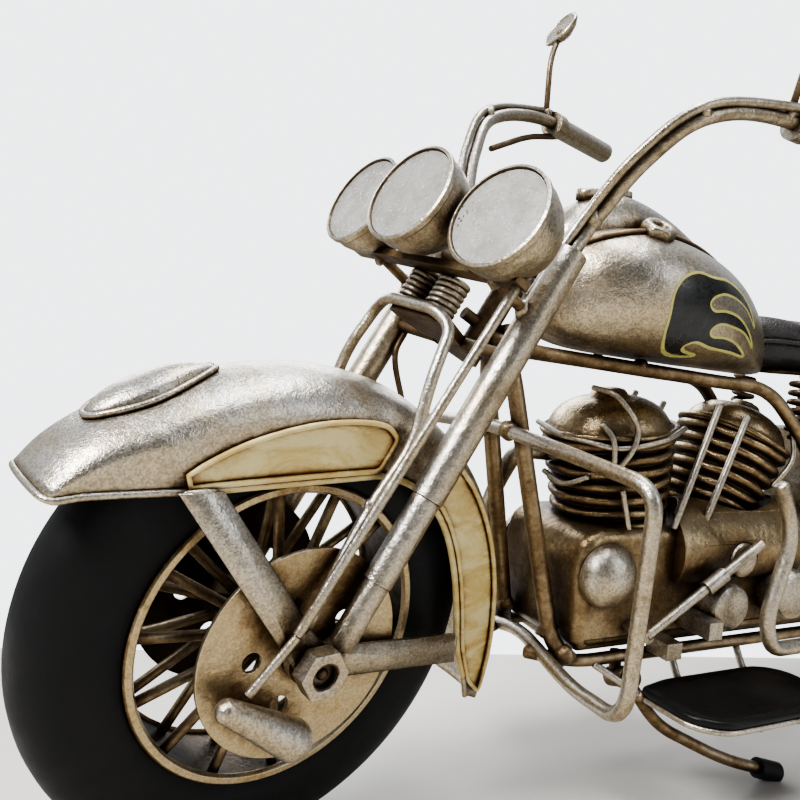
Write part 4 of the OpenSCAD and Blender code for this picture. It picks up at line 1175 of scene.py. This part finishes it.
FLAME = [(-93.6, 130), (-93.8, 135.5), (-96.6, 139.4), (-101.5, 141), (-107, 140.2), (-113, 139.8),
         (-119.4, 137.6),
         (-125.6, 133.6), (-130.6, 128.4), (-123.6, 132.8), (-117.4, 135.2), (-111.8, 136.2), (-107.6, 135.4),
         (-105.8, 133.6), (-107.6, 131.9), (-112.4, 132), (-119, 130.8), (-126, 127.6), (-132.4, 123),
         (-124.4, 126.6),
         (-116.6, 128.2), (-111, 128.6), (-108.4, 127), (-110.2, 125.4), (-115.4, 125.2), (-122, 123.8),
         (-130, 120.4),
         (-121.6, 121.4), (-112, 122.4), (-105.8, 123.6), (-103.2, 122.5), (-104.6, 121.2), (-110, 120),
         (-104, 119.6), (-98.4, 121.2), (-94.8, 125)]


def section(table, x):
    """Half the width, the lowest and the highest point of a body at this length."""
    return [eased(column(table, i), x) for i in (1, 2, 3)]


def tank_side(x, z, out):
    """The point on the tank's left side at this length and height, out proud of it."""
    half, low, high = section(TANK, -x)
    s = min(abs((z - (low + high) / 2) / ((high - low) / 2)), 0.995) ** (1 / TANK_OVAL)
    return vec(x, half * sqrt(1 - s * s) ** TANK_OVAL + out, z)


def flame_pieces():
    outline = [vec(p.x, p.y) for p in curve([vec(x, z, 0) for x, z in FLAME], 7, True)]
    n = len(outline)
    inner = [
        vec(x, z)
        for x in [-93 - 0.8 * i for i in range(52)] for z in [119 + 0.8 * j for j in range(28)]
        if min((vec(x, z) - p).length for p in outline) > 0.3
    ]
    flat, _, faces, *_ = delaunay_2d_cdt(
        [Vector(p[:2]) for p in outline + inner], [], [list(range(n))], 1, 1e-5
    )
    fill, line = Shape(), Shape()
    for flip in (Matrix.Identity(4), MIRROR):
        points = [tank_side(p.x, p.y, 0.05) for p in flat]
        turned = []
        for f in faces:
            a, b, c = (points[i] for i in f[:3])
            turned.append(list(f) if (b - a).cross(c - a).y > 0 else list(reversed(f)))
        fill.add(points, turned, UPRIGHT @ flip)
        rows = []
        for i, p in enumerate(outline):
            d = (outline[(i + 1) % n] - outline[i - 1]).normalized()
            across = vec(-d.y, d.x)
            for k, out in ((0.34, 0.05), (0.2, 0.1), (-0.2, 0.1), (-0.34, 0.05)):
                q = p + across * k
                rows.append(tank_side(q.x, q.y, out))
        line.add(rows, grid_faces(n, 4, True), UPRIGHT @ flip)
    fill.piece("flame_fill", "frame", "black", closed=False)
    line.piece("flame_outline", "frame", "line", closed=False)


def tank_pieces():
    points, faces = loft(TANK, TANK_OVAL, 150, 132)
    Shape().add(points, faces, UPRIGHT).piece("tank_body", "frame", "silver", "fuel_tank")
    flame_pieces()
    lip = Shape()

    def side(flip):
        path = [(-72, 5.4, 146.6), (-76, 10.6, 149.4), (-84, 13.4, 151.6), (-94, 13.2, 151.5),
                (-104, 11.4, 150),
                (-114, 9, 147.6), (-124, 6, 143.8), (-131, 2.6, 140.4)]
        points = [vec(p.x, p.y, tank_top(p.x, p.y) + 0.5) for p in curve(path, 6)]
        tube(lip, points, 0.75, UPRIGHT @ flip, 12)
    both(side)
    lip.piece("console_lip", "frame", "brown")


def tank_top(x, y):
    half, low, high = section(TANK, -x)
    c = min(abs(y) / half, 0.995) ** (1 / TANK_OVAL)
    return (low + high) / 2 + (high - low) / 2 * sqrt(1 - c * c) ** TANK_OVAL


def console_pieces():
    spine = Shape()
    points, faces = loft(CONSOLE, 0.8, 60, 48)
    spine.add(points, faces, UPRIGHT)
    stand = Matrix.Translation((-88, 0, 160.1)) @ Matrix.Rotation(radians(4), 4, "Y")
    slot_ring(spine, 17, 5.4, 9, 2.4, 1.2, UPRIGHT @ stand)
    rim = [vec(8.2 * cos(t), 2.5 * sin(t), 1.15) for t in on_circle(40)]
    tube(spine, rim, 0.32, UPRIGHT @ stand, 8, closed=True)
    for y in (12.4, -12.4):
        seat = Matrix.Translation((-95.4, y, 149)) @ Matrix.Rotation(radians(-30 if y > 0 else 30), 4, "X")
        hex_cap(spine, 4.2, 8.2, 2.0, UPRIGHT @ seat)
    spine.piece("console_and_caps", "frame", "silver", "tank_fittings")


def slot_ring(shape, length, width, slot_length, slot_width, thick, place, n=48):
    def stadium(l, w, z):
        out = []
        for t in on_circle(n):
            x = (l - w) / 2 * (1 if cos(t) > 0 else -1)
            out.append(vec(x + w / 2 * cos(t), w / 2 * sin(t), z))
        return out
    rings = [stadium(length, width, -1.5), stadium(length, width, thick - 0.25),
             stadium(length - 0.5, width - 0.5, thick), stadium(slot_length + 0.4, slot_width + 0.4, thick),
             stadium(slot_length, slot_width, thick - 0.2), stadium(slot_length, slot_width, 0.1)]
    points = [p for ring_points in rings for p in ring_points]
    shape.add(points, capped_faces(len(rings), n, True), place)


def hex_cap(shape, height, across, bore, place, n=72):
    def hexagon(r, z, roundness=0.0):
        out = []
        for t in on_circle(n):
            k = (t + pi / 6) % (pi / 3) - pi / 6
            reach = r / cos(k) * (1 - roundness) + r * roundness
            out.append(vec(reach * cos(t), reach * sin(t), z))
        return out

    def circle(r, z):
        return [vec(r * cos(t), r * sin(t), z) for t in on_circle(n)]
    h = across / 2
    rings = [hexagon(h, -1.5), hexagon(h, height - 0.9, 0.05), hexagon(h - 0.1, height - 0.35, 0.5),
             circle(h - 0.5, height), circle(bore + 0.5, height), circle(bore, height - 0.4),
             circle(bore, 0.6)]
    points = [p for ring_points in rings for p in ring_points]
    shape.add(points, capped_faces(len(rings), n, True), place)


def seat_pieces():
    def crowned(p, x, a):
        """Sewn channels across the top, a groove above the piping, and a soft, uneven fill."""
        top = max(0.0, sin(a))
        out = 0.45 * turbulence.noise(p * 0.07) * top
        for line in CHANNELS:
            bow = CHANNEL_BOW * cos(a) ** 2
            out -= 1.15 * exp(-((x - line + bow) / 1.05) ** 2) * min(1.0, top * 2.2)
        if CHANNELS[0] < x < CHANNELS[-1]:
            out += 0.5 * top * abs(sin(pi * (x - CHANNELS[0]) / 12)) ** 0.5
        edge = exp(-((degrees(atan2(sin(a), abs(cos(a)))) - 4) / 5) ** 2)
        return vec(0, -0.7 * edge * copysign(1, cos(a)), out - 0.2 * edge)
    points, faces = loft(SEAT, SEAT_OVAL, 170, 120, crowned)
    cushion = Shape().add(points, faces, UPRIGHT).piece("seat_cushion", "frame", "leather", "seat")
    rim = []
    for i in range(121):
        x = 141.2 + (215.2 - 141.2) * (0.5 - 0.5 * cos(pi * i / 120))
        half, low, high = section(SEAT, x)
        rim.append(vec(-x, half + 0.15, (low + high) / 2 + 0.3))
    rim += [vec(p.x, -p.y, p.z) for p in rim[::-1]]
    piping, threads = Shape(), Shape()
    tube(piping, curve(rim[::3], 3, True), 0.72, UPRIGHT, 12, closed=True)
    rng = random.Random(8)
    for line in CHANNELS:
        half, low, high = section(SEAT, line)
        count = int(half * 1.5)
        for k in range(-count, count + 1):
            a = pi / 2 - k / (count + 1) * 1.25
            for s in (-0.35, 0.35):
                x = line - CHANNEL_BOW * cos(a) ** 2 + s * 0.2
                c, q = signed_power(cos(a), SEAT_OVAL), signed_power(sin(a), SEAT_OVAL)
                mid = vec(-x, half * c, (low + high) / 2 + (high - low) / 2 * q - 0.75)
                step = vec(0.02 * rng.random(), 0.42, 0)
                if s > 0:
                    tube(threads, [mid - step, mid + vec(0, 0, 0.16), mid + step], 0.13, UPRIGHT, 6)
    piping.piece("seat_piping", "frame", "leather")
    threads.piece("seat_stitching", "frame", "leather")


def seat_frame_pieces():
    shape = Shape()
    outline = []
    for x, y, r, t0, t1 in ((-156, 0, 5.6, -70, 70), (-198, 15, 7, 60, 180), (-198, -15, 7, 180, 300)):
        for i in range(13):
            t = radians(t0 + (t1 - t0) * i / 12)
            outline.append((x + r * cos(t), y + r * sin(t)))
    n = len(outline)
    rows = [vec(x, y, z) for z in (115.6, 117) for x, y in outline]
    shape.add(rows, capped_faces(2, n), UPRIGHT)

    def side(flip):
        springs = ((-157, 10.6, 97), 1.5, 6.5, 18.6), ((-196, 18.6, 81.6), 1.8, 9.5, 34)
        for at, wire, turns, height in springs:
            path = helix((SEAT_SPRING_D - wire) / 2, height, wire / 2, turns)
            tube(shape, path, wire / 2, UPRIGHT @ flip @ Matrix.Translation(at), 12)
    both(side)
    shape.piece("seat_springs", "frame", "dark", "seat_frame")


tank_pieces()
console_pieces()
seat_pieces()
seat_frame_pieces()

# ---- threads in the open nuts, and solder where the wires meet ----

def threads():
    for name, body, place in (("front", "steering", FRONT), ("rear", "frame", REAR)):
        shape = Shape()

        def side(flip):
            path = [
                vec(2.98 * cos(t), 26.7 + 0.1 * t, 2.98 * sin(t))
                for t in [2 * pi * i / 40 for i in range(101)]
            ]
            tube(shape, path, 0.24, place @ flip, 8)
            tube(shape, [vec(0, 26.5, 0), vec(0, 26.75, 0)], 1.3, place @ flip, 20)
        both(side)
        shape.piece(name + "_nut_thread", body, "dark")


def solder_beads():
    front = [
        (fork_pt(15, 21.5, 89.6), 2.1), (fork_pt(3.6, 21.5, 89), 2.0), (vec(2, 21.6, 9), 1.9),
        (vec(-12.5, 18.8, 32), 1.7), (fork_pt(0, LEG_Y, 104.4), 3.1), (vec(-62, 22.8, 98.4), 2.3),
        (vec(-77.4, 35.6, 124.9), 1.9),
        (vec(-104, 39.9, 128.8), 1.9), (fork_pt(0.8, 20.8, 77.4), 2.4),
    ]
    steering = Shape()
    for i, (centre, r) in enumerate(front):
        solder(steering, centre, r, FRONT, 30 + i, (1, 0.8, 1.15))
        solder(steering, vec(centre.x, -centre.y, centre.z), r, FRONT, 60 + i, (1, 0.8, 1.15))
    steering.piece("steering_solder", "steering", "fork")
    back = [
        (vec(-75.2, 10.4, 47), 2.6), (vec(-77.6, 15, 41.4), 2.8), (vec(-60.4, 6.6, 98.6), 2.6),
        (vec(-168, 19.6, 44.4), 2.6), (vec(-197, 18, 41), 2.4), (vec(-161, 18, 83.6), 2.6),
        (vec(-98, 9, 116.4), 2.1), (vec(-60, 3.9, 119.6), 2.4),
        (vec(-113, 20.4, 31.6), 1.6), (vec(-137, 20.4, 31.6), 1.6), (vec(-97, 23.2, 31.7), 1.5),
    ]
    frame_beads = Shape()
    for i, (centre, r) in enumerate(back):
        solder(frame_beads, centre, r, UPRIGHT, 90 + i)
        solder(frame_beads, vec(centre.x, -centre.y, centre.z), r, UPRIGHT, 120 + i)
    frame_beads.piece("frame_solder", "frame", "brown")


threads()
solder_beads()

# ---- stage, lights and camera ----

EYE = Vector((0.20147, 0.18747, 0.09965))
LENS = 38.88
TABLE_EDGE = 0.372
WALL_GLOW = 2.6
YAW, PITCH, ROLL = radians(-115.36), radians(-1.18), radians(0.71)
look = Vector((cos(YAW) * cos(PITCH), sin(YAW) * cos(PITCH), -sin(PITCH)))
right = look.cross(Vector((0, 0, 1))).normalized()
up = right.cross(look)
cam_x = right * cos(ROLL) + up * sin(ROLL)
cam_y = up * cos(ROLL) - right * sin(ROLL)

camera_data = bpy.data.cameras.new("view")
camera_data.sensor_width = 36
camera_data.lens = LENS
camera_data.clip_start = 0.005
camera = bpy.data.objects.new("view", camera_data)
camera.matrix_world = Matrix.Translation(EYE) @ Matrix((cam_x, cam_y, -look)).transposed().to_4x4()
bpy.context.scene.collection.objects.link(camera)
bpy.context.scene.camera = camera


def plain(name, colour, rough):
    m, tree, shader, where = new_material(name)
    soft = grain(tree, where, 9, 4, 0.5)
    joined(tree, mixed(tree, soft, colour, tuple(c * 0.96 for c in colour)), shader, "Base Color")
    shader.inputs["Roughness"].default_value = rough
    return m


def table():
    """A pale slab under the model, its far edge square to the view."""
    flat = Vector((look.x, look.y, 0)).normalized()
    across = Vector((-flat.y, flat.x, 0))
    far = EYE + flat * TABLE_EDGE
    corners = []
    for d, s in ((0, -1.1), (0, 1.1), (-1.5, 1.1), (-1.5, -1.1)):
        p = far + flat * d + across * s
        corners.append(Vector((p.x, p.y, 0)))
    mesh = bpy.data.meshes.new("table")
    depth = Vector((0, 0, -0.03))
    points = [tuple(p) for p in corners] + [tuple(p + depth) for p in corners]
    walls = [[i, (i + 1) % 4, (i + 1) % 4 + 4, i + 4] for i in range(4)]
    mesh.from_pydata(points, [], [[3, 2, 1, 0], [4, 5, 6, 7]] + walls)
    mesh.materials.append(plain("pale_table", (0.60, 0.585, 0.56), 0.5))
    obj = bpy.data.objects.new("table", mesh)
    bpy.context.scene.collection.objects.link(obj)
    edge = obj.modifiers.new("edge", "BEVEL")
    edge.width = 0.004
    edge.segments = 3


def softbox(name, at, target, size, watts, colour=(1, 1, 1)):
    data = bpy.data.lights.new(name, "AREA")
    data.shape = "RECTANGLE"
    data.size, data.size_y = size
    data.energy = watts
    data.color = colour
    obj = bpy.data.objects.new(name, data)
    obj.location = at
    obj.rotation_euler = (Vector(target) - Vector(at)).to_track_quat("-Z", "Y").to_euler()
    bpy.context.scene.collection.objects.link(obj)


def surroundings():
    """A pale room: the wall behind the model is bright, the room in front of it is dimmer."""
    world = bpy.data.worlds.new("studio")
    world.use_nodes = True
    bpy.context.scene.world = world
    tree = world.node_tree
    out = tree.nodes["Background"]
    where = node(tree, "ShaderNodeTexCoord")
    split = node(tree, "ShaderNodeSeparateXYZ")
    tree.links.new(where.outputs["Generated"], split.inputs["Vector"])
    deep = spread(tree, split.outputs["Y"], -0.5, 0.6, 0.80, 0.14)
    high = spread(tree, split.outputs["Z"], -0.3, 0.6, 0.35, 1.0)
    glow = math_node(tree, "MULTIPLY", deep, high)
    path = node(tree, "ShaderNodeLightPath")
    seen = node(tree, "ShaderNodeMix", data_type="FLOAT")
    tree.links.new(path.outputs["Is Camera Ray"], seen.inputs[0])
    tree.links.new(glow, seen.inputs[2])
    seen.inputs[3].default_value = WALL_GLOW
    tree.links.new(seen.outputs[0], out.inputs["Strength"])
    out.inputs["Color"].default_value = (0.94, 0.965, 1.0, 1)


table()
bpy.context.scene.view_settings.look = "AgX - Medium High Contrast"
centre = (cad_low[0] + cad_high[0]) / 2 + 0.08, (cad_low[1] + cad_high[1]) / 2, 0.09
softbox("key", (0.62, 0.22, 0.62), centre, (0.26, 0.26), 7.5, (1, 0.985, 0.96))
softbox("overhead", (-0.05, 0.05, 0.8), centre, (0.7, 0.25), 5.0)
softbox("fill", (-0.35, 0.65, 0.35), centre, (0.2, 0.5), 1.2, (0.96, 0.98, 1))
softbox("back", (-0.1, -0.7, 0.55), centre, (0.9, 0.3), 5.0)
surroundings()
